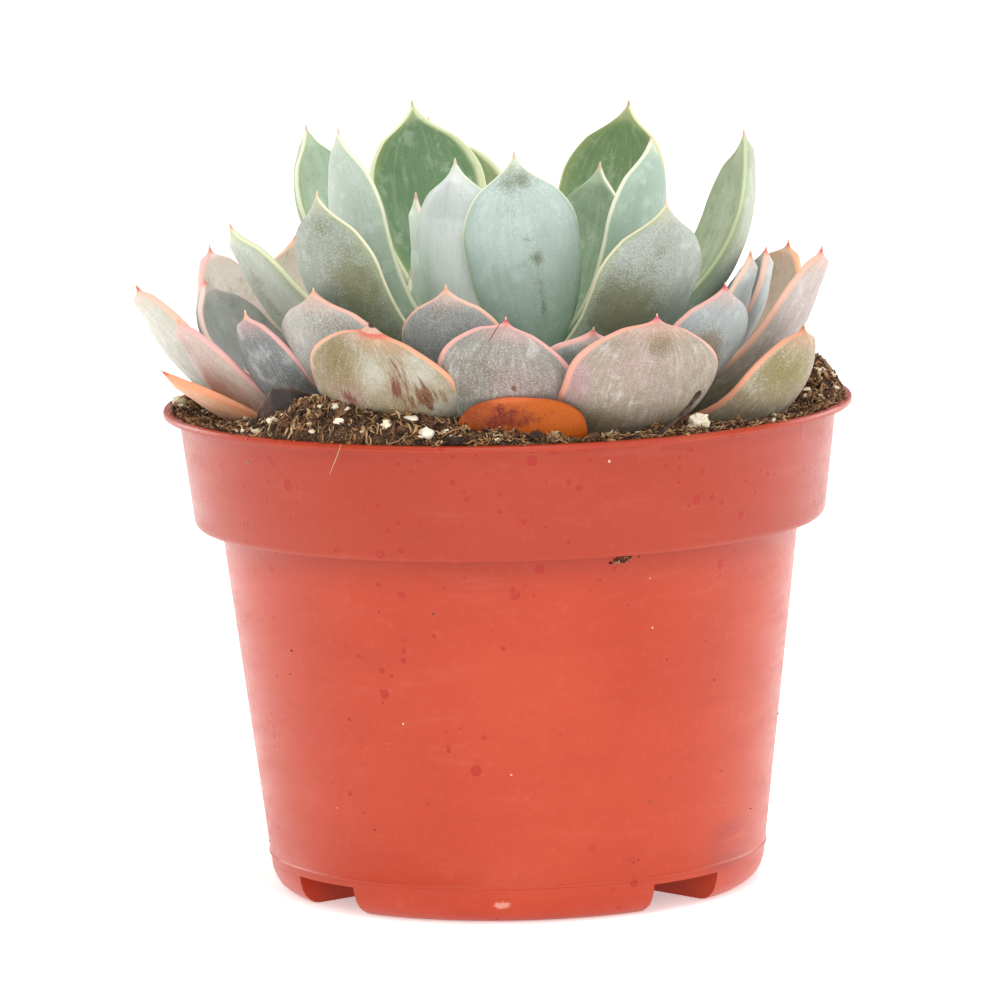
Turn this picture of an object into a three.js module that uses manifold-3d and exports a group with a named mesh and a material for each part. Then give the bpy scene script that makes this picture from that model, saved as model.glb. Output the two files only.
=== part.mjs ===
// A potted succulent: a rosette of thick pointed leaves on a short stem, in a thin plastic nursery pot.
//
// Millimetres, +Z up. The origin is under the middle of the whole object, at the level of the surface its feet
// stand on. Every piece is laid out from the pot's axis, which stands a little to the right of the origin,
// because the leaves reach further out on the left.
// The front of the plant faces -Y. Directions of leaves are degrees anticlockwise from +X, seen from above,
// and heights of the plant are measured from the top of the pot's rim.
import * as THREE from "three";
import { mergeVertices } from "three/addons/utils/BufferGeometryUtils.js";
import Module from "manifold-3d";

const wasm = await Module();
wasm.setup();

// ---------------------------------------------------------------- driving dimensions

const AXIS_PLACE = 2.35; // X of the pot's axis
const GAP = 0.3; // clearance between pieces that touch
const RIM_TOP = 84.8; // height of the pot
const RIM_RADIUS = 60; // outside of the lip
const LIP = 1.2; // thickness of the lip
const BAND_TOP_RADIUS = 57.3; // outside of the band, just under the lip
const BAND_FOOT_RADIUS = 54.9;
const BAND_FOOT = 64.3; // height of the ledge under the band
const BODY_TOP_RADIUS = 50.4; // outside of the tapered body, just under the ledge
const BODY_FOOT_RADIUS = 43.4;
const SEAM = 6.5; // height of the thin raised line round the base
const SEAM_RAISE = 0.25;
const WALL = 1.3;
const FLOOR = 5.2; // height of the underside of the pot's floor, between the feet
const RECESS_RADIUS = 27; // hollow under the middle of the floor
const NOTCH_WIDTH = 15; // opening between two feet
const NOTCH_DIRECTIONS = [-141.2, -47.6, 38.8, 132.4];
const DRAIN_RADIUS = 4;
const DRAIN_PLACE = 31; // distance of each drain hole from the axis
const ROUND = 56; // sides of the pot

const STEM_RADIUS = 6.5;
const STEM_FOOT = -34; // end of the root ball
const STEM_TOP = 14;
const STEM_SHOULDER = 5; // above this the stem narrows
const STEM_TIP_RADIUS = 1.8;

const SOIL_EDGE = 1.6; // depth of the soil below the rim at the wall
// Mounds and hollows of the soil: x, y, width, height.
const MOUNDS = [
  [0, 0, 22, -5],
  [-25, -45, 11, 7.6],
  [-6, -53, 9, 1.6],
  [53, 6, 8, 7],
  [48, 20, 10, 2],
  [30, -46, 10, 1.8],
  [-46, -26, 9, 1.4],
  [-52, -8, 7, -2],
  [-30, 40, 18, 1.5],
];

const BASE_GAP = GAP + 0.2; // from the stem to where a leaf starts
const ROOM = GAP + 0.12; // clearance a leaf keeps to its neighbours
const BED = GAP + 0.75; // and the soil to a leaf
const BASE_WIDTH = 0.34; // width of a leaf at its base, as a share of its full width
const CUP = 0.24; // how far the margins curl up, as a share of half the width
const HANDLE = 0.42; // how far a leaf holds its first and last direction

// How full the shoulders of a leaf are, how far its tip is pinched in, and the half width of its nib.
const TIPS = {
  heart: [2.1, 0.5, 0.1],
  inner: [2.1, 0.55, 0.1],
  middle: [2.1, 0.55, 0.1],
  second: [2.4, 0.4, 0.25],
  outer: [3.0, 0.1, 0.6],
  withered: [2.1, 0.3, 0.15],
};

// How much one side of a blade climbs past the other: positive raises its right side, seen from outside.
const LEANS = { outer_leaf_1: -0.12 };

// Each leaf: name, direction, height of its base, distance of its tip from the axis, height of its tip,
// width, thickness, slope at its base, slope at its tip, sideways swing of its tip, roll, and how far below
// its tip it is widest.
// The order is from the inside of the rosette out: a leaf makes room for those before it.
const LEAVES = [
  ["heart_leaf_1", 60, 13.4, 2.2, 21, 4, 1.2, 70, 88, 0, 0, 4],
  ["heart_leaf_2", 235, 13.0, 2.8, 22.5, 5, 1.4, 66, 88, 0, 0, 4.5],
  ["heart_leaf_3", 335, 12.2, 5, 24.5, 7, 1.8, 58, 88, 0, 0, 5.5],
  ["heart_leaf_4", 120, 11.6, 6, 26, 8, 2.0, 55, 86, 0, 0, 6],
  ["heart_leaf_5", 205, 10.8, 8, 28, 9, 2.2, 50, 86, 0, 0, 7],
  ["heart_leaf_6", 22, 10.2, 9, 28, 10, 2.4, 48, 86, 0, 0, 8],
  ["heart_leaf_7", 314, 9.4, 13.4, 31, 13, 2.6, 38, 86, 0, 0, 10],
  ["inner_leaf_1", 196, 8.8, 15.3, 37, 14, 3.0, 40, 88, -6, 0, 13],
  ["inner_leaf_2", 50, 8.2, 27, 39.2, 16.5, 3.2, 26, 84, 0, 0, 14],
  ["inner_leaf_3", 240, 7.8, 19, 44.3, 18, 3.2, 42, 86, 5, 0, 15],
  ["inner_leaf_4", 332, 7.4, 29.8, 47.4, 19.5, 3.4, 18, 88, -2, 0, 16],
  ["inner_leaf_5", 210, 6.2, 32.3, 50, 17.5, 3.4, 20, 86, 0, 0, 16],
  ["inner_leaf_6", 292.8, 6.0, 24, 46, 20.4, 3.6, 38, 88, -17.8, 0, 16],
  ["inner_leaf_7", 150, 8.4, 19, 22, 14, 3.0, 24, 84, 0, 0, 11],
  ["inner_leaf_8", 85, 8.6, 19, 31, 15, 3.0, 34, 84, 0, 0, 12],
  ["inner_leaf_9", 8, 7.0, 25, 29, 17, 3.2, 22, 84, 0, 0, 13],
  ["middle_leaf_1", 62.3, 5.6, 45.6, 48.2, 21, 3.8, 20, 80, -2.5, 0, 16],
  ["middle_leaf_2", 145, 5.4, 42, 46.7, 20, 3.8, 20, 82, 0, 0, 16],
  ["middle_leaf_3", 109, 5.6, 40, 49.3, 22, 3.8, 26, 84, 4, 0, 16],
  ["middle_leaf_4", 307, 4.6, 46, 38.4, 22.5, 3.8, 6, 88, 0, 0, 15],
  ["middle_leaf_5", 230.2, 4.2, 48, 41.2, 18.5, 3.8, 6, 86, -1.2, 0, 15],
  ["middle_leaf_6", 23, 4.0, 45.3, 44.8, 22, 3.8, 10, 94, -3, -8, 16],
  ["middle_leaf_7", 168, 3.0, 49, 31, 20, 3.8, 10, 66, 0, 24, 14],
  ["middle_leaf_8", 94, 2.6, 50, 45.2, 25, 3.8, 16, 84, 11, 0, 16],
  ["second_leaf_1", 258, 2.2, 48, 26, 18, 3.8, 2, 84, 0, 0, 12.5],
  ["second_leaf_2", 288, 2.0, 48, 18, 18, 3.6, 0, 60, 0, 0, 12.5],
  ["second_leaf_3", 316, 2.0, 52, 24, 20.5, 3.8, 2, 86, 0, 0, 12.5],
  ["second_leaf_4", 355, 2.2, 43, 25.6, 18, 3.6, 6, 84, 0, 0, 12.5],
  ["second_leaf_5", 12, 0.6, 47, 24.8, 19, 3.8, 2, 82, 0, 0, 12.5],
  ["second_leaf_6", 230, 0.4, 50.5, 25, 23, 3.8, 0, 88, 0, 0, 12.5],
  ["second_leaf_7", 165, 0.0, 54.6, 21, 20, 3.8, 0, 80, 0, -14, 12.5],
  ["second_leaf_8", 134.5, 1.2, 52.5, 26.2, 27, 3.8, 2, 84, 0, 0, 12.5],
  ["second_leaf_9", 112, -0.8, 53, 25, 20, 3.8, 0, 80, 0, 0, 12.5],
  ["second_leaf_10", 74, -0.4, 51, 24, 20, 3.8, 2, 80, 0, 0, 12.5],
  ["second_leaf_11", 40, -0.2, 46, 20, 19, 3.8, 2, 80, 0, 0, 12.5],
  ["outer_leaf_1", 244.5, -2.4, 57, 20.6, 27, 4.0, -6, 88, 2, 0, 15],
  ["outer_leaf_2", 295.5, -2.2, 59, 21, 29, 4.0, -6, 90, 0, 0, 15],
  ["outer_leaf_3", 329, -2.6, 59.3, 16, 23, 4.0, -5, 82, 0, 0, 15],
  ["outer_leaf_4", 348, -2.0, 56.2, 27, 22, 4.0, -4, 74, 0, 0, 15.5],
  ["outer_leaf_5", 31, -3.2, 59, 23.5, 20, 4.0, -4, 84, 0, 0, 15],
  ["outer_leaf_6", 176, -2.4, 64.5, 21.3, 22, 4.0, -5, 64, 0, 14, 15.5],
  ["outer_leaf_7", 196, -3.6, 59, 17.8, 20, 4.0, -6, 62, 0, 0, 15],
  ["outer_leaf_8", 213, -2.2, 53, 20.3, 17.5, 4.0, -4, 78, 0, 0, 15],
  ["outer_leaf_9", 267.5, -4.8, 55, 21.3, 23.5, 4.0, -6, 88, 2.5, 0, 15],
  ["outer_leaf_10", 150, -3.6, 60.2, 25, 20.5, 4.0, -4, 84, 0, 0, 15],
  ["outer_leaf_11", 124, -4.8, 59, 15, 21, 4.0, -5, 74, 0, 0, 15],
  ["outer_leaf_12", 92, -4.8, 59, 16, 22, 4.0, -5, 74, 0, 0, 15],
  ["outer_leaf_13", 60, -4.8, 59, 14, 21, 4.0, -5, 74, 0, 0, 15],
  ["withered_leaf", 201, -7.5, 63.6, 9.5, 14, 2.2, -4, 36, 0, 0, 16],
];

const LOWER_RINGS = [0, 0, 0.22, 0.45, 0.68, 0.86, 1]; // rings from a leaf's base to its widest place
const UPPER_RINGS = [0.3, 0.55, 0.76, 0.91, 1]; // and on to its tip
const COARSE_RINGS = [[0, 0, 0.35, 0.62, 0.82, 1], [0.55, 1]]; // for the room a leaf takes in the soil
const SIDES = 8; // points round a leaf

const COLOURS = {
  pot: [0xd5573f, 0.5],
  soil: [0x4a3626, 0.95],
  stem: [0x8a7a55, 0.85],
  heart: [0xa9bfa8, 0.55],
  inner: [0xa3b5ab, 0.55],
  middle: [0x9aab9f, 0.55],
  second: [0xa1a6a0, 0.55],
  outer: [0xa9a79c, 0.55],
  withered: [0xe09a6a, 0.6],
  fallen: [0xd9642c, 0.5],
  dead: [0x4a2f2a, 0.8],
  perlite: [0xefe6d0, 0.9],
  twig: [0x4a3328, 0.9],
};

// ---------------------------------------------------------------- solids

const radians = THREE.MathUtils.degToRad;

/** A three.js geometry as a solid, with its shared vertices merged. */
function solid(geometry) {
  const bare = geometry.clone();
  bare.deleteAttribute("normal");
  bare.deleteAttribute("uv");
  const merged = mergeVertices(bare, 1e-4);
  const index = merged.index.array;
  const triangles = [];
  for (let i = 0; i < index.length; i += 3) {
    const [a, b, c] = index.slice(i, i + 3);
    if (a !== b && b !== c && c !== a) triangles.push(a, b, c);
  }
  const vertProperties = merged.attributes.position.array;
  const triVerts = new Uint32Array(triangles);
  return new wasm.Manifold(new wasm.Mesh({ numProp: 3, vertProperties, triVerts }));
}

/** The largest single body of a solid: slivers that a cut leaves behind are dropped. */
function largest(body) {
  const bodies = body.decompose();
  return bodies.reduce((best, next) => (next.volume() > best.volume() ? next : best));
}

/** A named mesh of a solid, with its colour and roughness. */
function meshOf(name, body, look) {
  const mesh = body.getMesh();
  const geometry = new THREE.BufferGeometry();
  geometry.setAttribute("position", new THREE.BufferAttribute(mesh.vertProperties, 3));
  geometry.setIndex(new THREE.BufferAttribute(mesh.triVerts, 1));
  geometry.computeVertexNormals();
  const [color, roughness] = COLOURS[look];
  const material = new THREE.MeshStandardMaterial({ color, roughness, metalness: 0 });
  const made = new THREE.Mesh(geometry, material);
  made.name = name;
  return made;
}

/** A solid turned about Z from [radius, height] pairs, listed from the axis, up the outside and back. */
function turned(profile, sides = ROUND) {
  const points = profile.map(([radius, height]) => new THREE.Vector2(radius, height));
  return solid(new THREE.LatheGeometry(points, sides).rotateX(Math.PI / 2));
}

// ---------------------------------------------------------------- pot

/** Radius of the outside of the tapered body at a height. */
function bodyRadius(height) {
  const share = (height - SEAM) / (BAND_FOOT - SEAM);
  return THREE.MathUtils.lerp(BODY_FOOT_RADIUS, BODY_TOP_RADIUS, share);
}

function potOutside() {
  const seamRadius = BODY_FOOT_RADIUS + SEAM_RAISE;
  return turned([
    [0, 0],
    [BODY_FOOT_RADIUS - 4.2, 0],
    [BODY_FOOT_RADIUS - 2.2, 0.8],
    [BODY_FOOT_RADIUS - 0.8, 2.4],
    [BODY_FOOT_RADIUS - 0.2, SEAM - 2],
    [BODY_FOOT_RADIUS - 0.05, SEAM - 0.3],
    [seamRadius, SEAM - 0.2],
    [seamRadius, SEAM + 0.2],
    [bodyRadius(SEAM + 0.4), SEAM + 0.4],
    [bodyRadius(35), 35],
    [BODY_TOP_RADIUS, BAND_FOOT],
    [BAND_FOOT_RADIUS - 0.8, BAND_FOOT],
    [BAND_FOOT_RADIUS - 0.1, BAND_FOOT + 0.7],
    [BAND_TOP_RADIUS, RIM_TOP - LIP - 0.6],
    [BAND_TOP_RADIUS + 0.5, RIM_TOP - LIP],
    [RIM_RADIUS - 0.3, RIM_TOP - LIP],
    [RIM_RADIUS, RIM_TOP - LIP + 0.3],
    [RIM_RADIUS, RIM_TOP - 0.3],
    [RIM_RADIUS - 0.4, RIM_TOP],
    [0, RIM_TOP],
  ]);
}

/** The hollow of the pot, or what fills it when shrunk by a clearance. */
function potInside(clearance, top) {
  const wall = WALL + clearance;
  const floor = FLOOR + WALL + clearance;
  const ledge = BAND_FOOT + WALL + clearance;
  return [
    [0, floor],
    [BODY_FOOT_RADIUS - wall - 1, floor],
    [bodyRadius(floor + 1) - wall, floor + 1],
    [BODY_TOP_RADIUS - wall, ledge - 0.4],
    [BODY_TOP_RADIUS - wall + 0.4, ledge],
    [BAND_FOOT_RADIUS - wall, ledge],
    [BAND_TOP_RADIUS - wall + 0.1, top],
    [0, top],
  ];
}

/** A box that runs outwards from the axis in a direction, from below the pot up to a height. */
function channel(direction, from, to, width, height) {
  const box = new THREE.BoxGeometry(to - from, width, height + 1);
  box.translate((from + to) / 2, 0, (height - 1) / 2);
  return solid(box.rotateZ(radians(direction)));
}

function makePot() {
  let pot = potOutside().subtract(turned(potInside(0, RIM_TOP + 1)));
  pot = pot.subtract(turned([[0, -1], [RECESS_RADIUS, -1], [RECESS_RADIUS, FLOOR], [0, FLOOR]]));
  for (const direction of NOTCH_DIRECTIONS) {
    pot = pot.subtract(channel(direction, 15, RIM_RADIUS, NOTCH_WIDTH, FLOOR));
    const hole = new THREE.CylinderGeometry(DRAIN_RADIUS, DRAIN_RADIUS, 6, 20);
    hole.rotateX(Math.PI / 2).translate(DRAIN_PLACE, 0, FLOOR).rotateZ(radians(direction));
    pot = pot.subtract(solid(hole));
  }
  return pot;
}

// ---------------------------------------------------------------- leaves

/** Radius of the stem at a height. */
function stemRadius(height) {
  const share = THREE.MathUtils.inverseLerp(STEM_SHOULDER, STEM_TOP, height);
  return THREE.MathUtils.lerp(STEM_RADIUS, STEM_TIP_RADIUS, THREE.MathUtils.clamp(share, 0, 1));
}

/** A point at a distance from the axis, in a direction, at a height above the rim. */
function place(direction, distance, height) {
  const angle = radians(direction);
  return new THREE.Vector3(
    distance * Math.cos(angle),
    distance * Math.sin(angle),
    RIM_TOP + height,
  );
}

/** A unit vector that points outwards in a direction and climbs at a slope. */
function heading(direction, slope) {
  const flat = Math.cos(radians(slope));
  const angle = radians(direction);
  return new THREE.Vector3(
    flat * Math.cos(angle),
    flat * Math.sin(angle),
    Math.sin(radians(slope)),
  );
}

/** Half of a leaf's width at a share of its length, from its narrow base to its drawn-out tip. */
function halfWidth(share, widest, width, family) {
  const half = width / 2;
  const [fullness, pinch, nib] = TIPS[family];
  if (share < widest) {
    const rise = Math.sin((Math.PI / 2) * (share / widest));
    return half * (BASE_WIDTH + (1 - BASE_WIDTH) * rise);
  }
  const past = (share - widest) / (1 - widest);
  const drawn = 1 - pinch * THREE.MathUtils.smoothstep(past, 0.52, 0.92);
  return Math.max(nib, half * Math.max(0, 1 - past ** fullness) ** 1.2 * drawn);
}

/** The line that a leaf follows from the stem to its tip. */
function spineOf([, direction, base, reach, rise, , , leave, arrive, swing]) {
  const start = place(direction, stemRadius(base) + BASE_GAP, base);
  const end = place(direction + swing, reach, rise);
  const handle = HANDLE * start.distanceTo(end);
  const first = heading(direction, leave).multiplyScalar(handle).add(start);
  const last = heading(direction + swing, arrive).multiplyScalar(-handle).add(end);
  return new THREE.CubicBezierCurve3(start, first, last, end);
}

/** The shares of a leaf's length at which its rings lie. */
function ringShares(widest, [lower, upper]) {
  const above = upper.map((share) => widest + (1 - widest) * share);
  return [...lower.map((share) => widest * share), ...above];
}

/** A leaf, or the room it takes when it is grown by a margin: a ball drawn out along the leaf's line. */
function leafSolid(row, grow = 0, sides = SIDES, rings = [LOWER_RINGS, UPPER_RINGS]) {
  const [name, direction, , , , width, thickness, , , swing, roll, shoulder] = row;
  const family = name.split("_")[0];
  const lean = LEANS[name] || 0;
  const spine = spineOf(row);
  const widest = 1 - shoulder / spine.getLength();
  const shares = ringShares(widest, rings);
  const last = shares.length - 1;
  const ball = new THREE.SphereGeometry(1, sides, last);
  const position = ball.attributes.position;
  for (let i = 0; i < position.count; i += 1) {
    const ring = Math.round(ball.attributes.uv.getY(i) * last);
    const turn = (2 * Math.PI * Math.round(ball.attributes.uv.getX(i) * sides)) / sides;
    const pole = ring === 0 || ring === last;
    const share = shares[ring];
    const along = spine.getTangentAt(share);
    const across = heading(direction + swing * share + 90, 0);
    const upper = along.clone().cross(across).normalize();
    across.crossVectors(upper, along).applyAxisAngle(along, radians(roll));
    upper.applyAxisAngle(along, radians(roll));
    const half = pole ? 0 : halfWidth(share, widest, width, family) + grow;
    const sine = pole ? 0 : Math.sin(turn);
    const [edge, depth] = sectionOf(share, widest, half, width, thickness, sine);
    const overshoot = (share === 0 ? -1 : share === 1 ? 1.5 : 0) * grow;
    const spot = spine.getPointAt(share);
    spot.addScaledVector(across, half * Math.cos(turn));
    spot.addScaledVector(upper, edge * Math.cos(turn) ** 2 + (depth + grow) * sine);
    spot.addScaledVector(along, overshoot + lean * share * half * Math.cos(turn));
    position.setXYZ(i, spot.x, spot.y, spot.z);
  }
  return solid(ball);
}

/** How far a leaf's margins curl up, and its depth above or below its middle line. */
function sectionOf(share, widest, half, width, thickness, sine) {
  const fullness = Math.min(1, half / (0.3 * width)) * (1 - 0.4 * (share / widest) ** 3);
  const depth = sine < 0 ? thickness * Math.max(0.35, fullness) : 0.12 * thickness;
  return [CUP * half, half > 0 ? depth * Math.min(1, half / 2) : 0];
}

/** Every leaf in turn, each cut clear of the ones already in place. */
function makeLeaves() {
  const made = [];
  for (const row of LEAVES) {
    let leaf = leafSolid(row);
    for (const other of made) {
      if (leaf.intersect(other.room).volume() > 0.001) leaf = leaf.subtract(other.room);
    }
    leaf = largest(leaf);
    made.push({
      name: row[0],
      body: leaf,
      room: leafSolid(row, ROOM),
      bed: leafSolid(row, BED, SIDES, COARSE_RINGS),
    });
  }
  return made;
}

// ---------------------------------------------------------------- stem, soil and litter

function makeStem(grow = 0) {
  return turned([
    [0, RIM_TOP + STEM_FOOT - grow],
    [STEM_RADIUS * 0.6 + grow, RIM_TOP + STEM_FOOT - grow],
    [STEM_RADIUS + grow, RIM_TOP + STEM_FOOT + 8],
    [STEM_RADIUS + grow, RIM_TOP + STEM_SHOULDER],
    [STEM_TIP_RADIUS + grow, RIM_TOP + STEM_TOP + grow],
    [0, RIM_TOP + STEM_TOP + grow],
  ], 24);
}

/** Height of the soil at a place. */
function soilHeight(x, y) {
  let height = RIM_TOP - SOIL_EDGE;
  for (const [moundX, moundY, width, rise] of MOUNDS) {
    const apart = ((x - moundX) ** 2 + (y - moundY) ** 2) / (2 * width * width);
    height += rise * Math.exp(-apart);
  }
  return height;
}

/** The block of soil: the pot's filling, with its top laid over the mounds. */
function soilBlock() {
  const profile = potInside(GAP, RIM_TOP);
  const foot = profile.slice(0, 6);
  const edge = BAND_TOP_RADIUS - WALL - 2 * GAP - 0.1;
  const top = [edge, 52, 46, 39, 31, 22, 12, 0].map((radius) => [radius, RIM_TOP]);
  const points = [...foot, ...top].map(([radius, height]) => new THREE.Vector2(radius, height));
  const block = new THREE.LatheGeometry(points, 40).rotateX(Math.PI / 2);
  const position = block.attributes.position;
  for (let i = 0; i < position.count; i += 1) {
    if (position.getZ(i) > RIM_TOP - 0.01) {
      position.setZ(i, soilHeight(position.getX(i), position.getY(i)));
    }
  }
  return solid(block);
}

function makeSoil(leaves, litter) {
  let soil = soilBlock().subtract(makeStem(GAP));
  for (const { bed } of leaves) {
    if (soil.intersect(bed).volume() > 0.001) soil = soil.subtract(bed);
  }
  for (const { room } of litter) {
    if (soil.intersect(room).volume() > 0.001) soil = soil.subtract(room);
  }
  return largest(soil);
}

/** A flattened ball: half sizes, centre, and turns about X, Y and Z in degrees. */
function pebble(size, centre, turn, detail, grow = 0) {
  const ball = new THREE.SphereGeometry(1, detail, Math.round(detail * 0.6));
  ball.scale(size[0] + grow, size[1] + grow, size[2] + grow);
  ball.rotateX(radians(turn[0]));
  ball.rotateY(radians(turn[1]));
  ball.rotateZ(radians(turn[2]));
  ball.translate(...centre);
  return solid(ball);
}

/** A straight, slightly tapered stick between two points. */
function stick(from, to, radius, grow = 0) {
  const start = new THREE.Vector3(...from);
  const end = new THREE.Vector3(...to);
  const length = start.distanceTo(end);
  const rod = new THREE.CylinderGeometry(radius + grow, radius * 0.7 + grow, length + 2 * grow, 7);
  rod.rotateX(Math.PI / 2).translate(0, 0, 0);
  const aim = new THREE.Quaternion().setFromUnitVectors(
    new THREE.Vector3(0, 0, 1),
    end.clone().sub(start).normalize(),
  );
  rod.applyQuaternion(aim);
  const middle = start.add(end).multiplyScalar(0.5);
  return solid(rod.translate(middle.x, middle.y, middle.z));
}

/** What lies on the soil: two leaves that have dropped, one white grain of perlite and a twig. */
function makeLitter(leaves) {
  const pieces = [
    ["fallen_leaf", "fallen", (grow) => pebble([10.9, 2.0, 5.4], [2.6, -53, 86.8], [8, 0, 1], 14, grow)],
    ["dead_leaf", "dead", (grow) => pebble([5.2, 1.1, 3.1], [-38, -37, 90.2], [10, 8, -40], 12, grow)],
    ["perlite_grain", "perlite", (grow) => pebble([1.9, 1.5, 1.6], [32.6, -44.2, 86], [0, 0, 20], 9, grow)],
    ["twig", "twig", (grow) => stick([24.4, -49.2, 84.8], [32.2, -55.4, 92.4], 0.5, grow)],
  ];
  const made = [];
  for (const [name, look, make] of pieces) {
    let body = make(0);
    for (const other of [...leaves, ...made]) {
      if (body.intersect(other.room).volume() > 0.001) body = body.subtract(other.room);
    }
    made.push({ name, look, body: largest(body), room: make(GAP) });
  }
  return made;
}

// ---------------------------------------------------------------- assembly

const plant = new THREE.Group();
const leaves = makeLeaves();
const litter = makeLitter(leaves);
const soil = makeSoil(leaves, litter);
plant.add(meshOf("pot", makePot(), "pot"));
plant.add(meshOf("soil", soil, "soil"));
plant.add(meshOf("stem", makeStem(), "stem"));
for (const { name, body } of leaves) {
  plant.add(meshOf(name, body, name.split("_")[0]));
}
for (const { name, look, body } of litter) {
  plant.add(meshOf(name, body, look));
}

plant.position.x = AXIS_PLACE;
const part = new THREE.Group();
part.add(plant);
export default part;
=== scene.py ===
"""A potted succulent: a rosette of thick pointed leaves on a short stem, in a thin plastic nursery pot.

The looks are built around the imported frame. Lengths in the tables are millimetres and become metres in the
meshes. The front of the plant faces -Y. Directions are degrees anticlockwise from +X, seen from above, and
heights of the plant are measured from the top of the pot's rim.
"""

import math

import bpy
import numpy as np
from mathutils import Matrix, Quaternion, Vector, noise
from mathutils.bvhtree import BVHTree


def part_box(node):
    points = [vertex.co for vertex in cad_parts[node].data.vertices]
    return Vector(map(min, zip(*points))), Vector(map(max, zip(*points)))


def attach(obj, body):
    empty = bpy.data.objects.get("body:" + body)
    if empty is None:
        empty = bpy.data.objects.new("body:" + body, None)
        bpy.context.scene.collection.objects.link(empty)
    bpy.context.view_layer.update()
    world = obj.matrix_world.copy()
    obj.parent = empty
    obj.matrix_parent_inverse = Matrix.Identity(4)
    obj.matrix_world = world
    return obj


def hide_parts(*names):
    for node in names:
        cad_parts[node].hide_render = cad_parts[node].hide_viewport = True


bl_info = {
    "name": "Potted Succulent",
    "version": (1, 0, 0),
    "blender": (4, 5, 0),
    "location": "3D View > Sidebar > Succulent",
    "description": "Builds the looks of a potted rosette succulent around its frame",
    "category": "Add Mesh",
}

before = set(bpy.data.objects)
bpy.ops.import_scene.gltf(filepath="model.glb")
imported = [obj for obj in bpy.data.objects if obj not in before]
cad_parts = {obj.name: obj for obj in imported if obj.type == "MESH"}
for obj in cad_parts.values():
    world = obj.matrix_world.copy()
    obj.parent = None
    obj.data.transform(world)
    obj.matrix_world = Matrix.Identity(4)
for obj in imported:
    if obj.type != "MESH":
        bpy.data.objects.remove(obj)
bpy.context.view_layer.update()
MM = 0.001
POT_LOW, POT_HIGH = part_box("pot")
AXIS_X = (POT_LOW.x + POT_HIGH.x) / 2
RIM_TOP = POT_HIGH.z / MM
RIM_RADIUS = (POT_HIGH.x - POT_LOW.x) / 2 / MM
ROOT = "root"
SEED = 11

# ---- pot sizes

BAND_TOP_RADIUS, BAND_FOOT_RADIUS, BAND_FOOT = 57.3, 54.9, 64.3  # the collar, and the height of its foot
BODY_TOP_RADIUS, BODY_FOOT_RADIUS = 50.4, 43.4
SEAM = 6.5  # height of the moulding line above the feet
WALL, LIP, FLOOR = 1.3, 1.2, 5.2  # thickness of the wall and the lip, and height of the floor
RECESS_RADIUS = 27
NOTCH_WIDTH, CHANNEL_START = 15, 15  # the gaps between the feet, and how far from the axis they begin
NOTCH_DIRECTIONS = (-141.2, -47.6, 38.8, 132.4)
DRAIN_RADIUS, DRAIN_PLACE = 4, 31

# ---- plant sizes

STEM_RADIUS, STEM_SHOULDER = 6.5, 5  # the stem, and the height at which it begins to narrow
STEM_TIP_RADIUS, STEM_TOP = 1.8, 14
BASE_GAP = 0.5  # between a leaf's base and the stem
BASE_WIDTH = 0.34  # of a leaf at its base, as a share of its width
CUP = 0.24  # how much a leaf's margins rise for their distance from its middle line
HANDLE = 0.42  # how far a leaf's line holds its first and last slope, as a share of its length

# How full the shoulders of a leaf are, how far its tip is pinched in, from where to where on the way from its
# widest place to its tip, and the half width of its nib.
TIPS = {
    "heart": (2.1, 0.5, 0.52, 0.92, 0.1),
    "inner": (2.1, 0.55, 0.52, 0.92, 0.1),
    "middle": (2.1, 0.55, 0.52, 0.92, 0.1),
    "second": (2.4, 0.5, 0.6, 0.92, 0.2),
    "outer": (3.0, 0.62, 0.8, 0.92, 0.55),
    "withered": (2.1, 0.3, 0.52, 0.92, 0.15),
    "outer_leaf_1": (3.0, 0.4, 0.78, 0.9, 1.15),
}

# How much one side of a blade climbs past the other: positive raises its right side, seen from outside.
LEANS = {"outer_leaf_1": -0.2, "outer_leaf_9": -0.2, "outer_leaf_2": -0.08}

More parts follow.
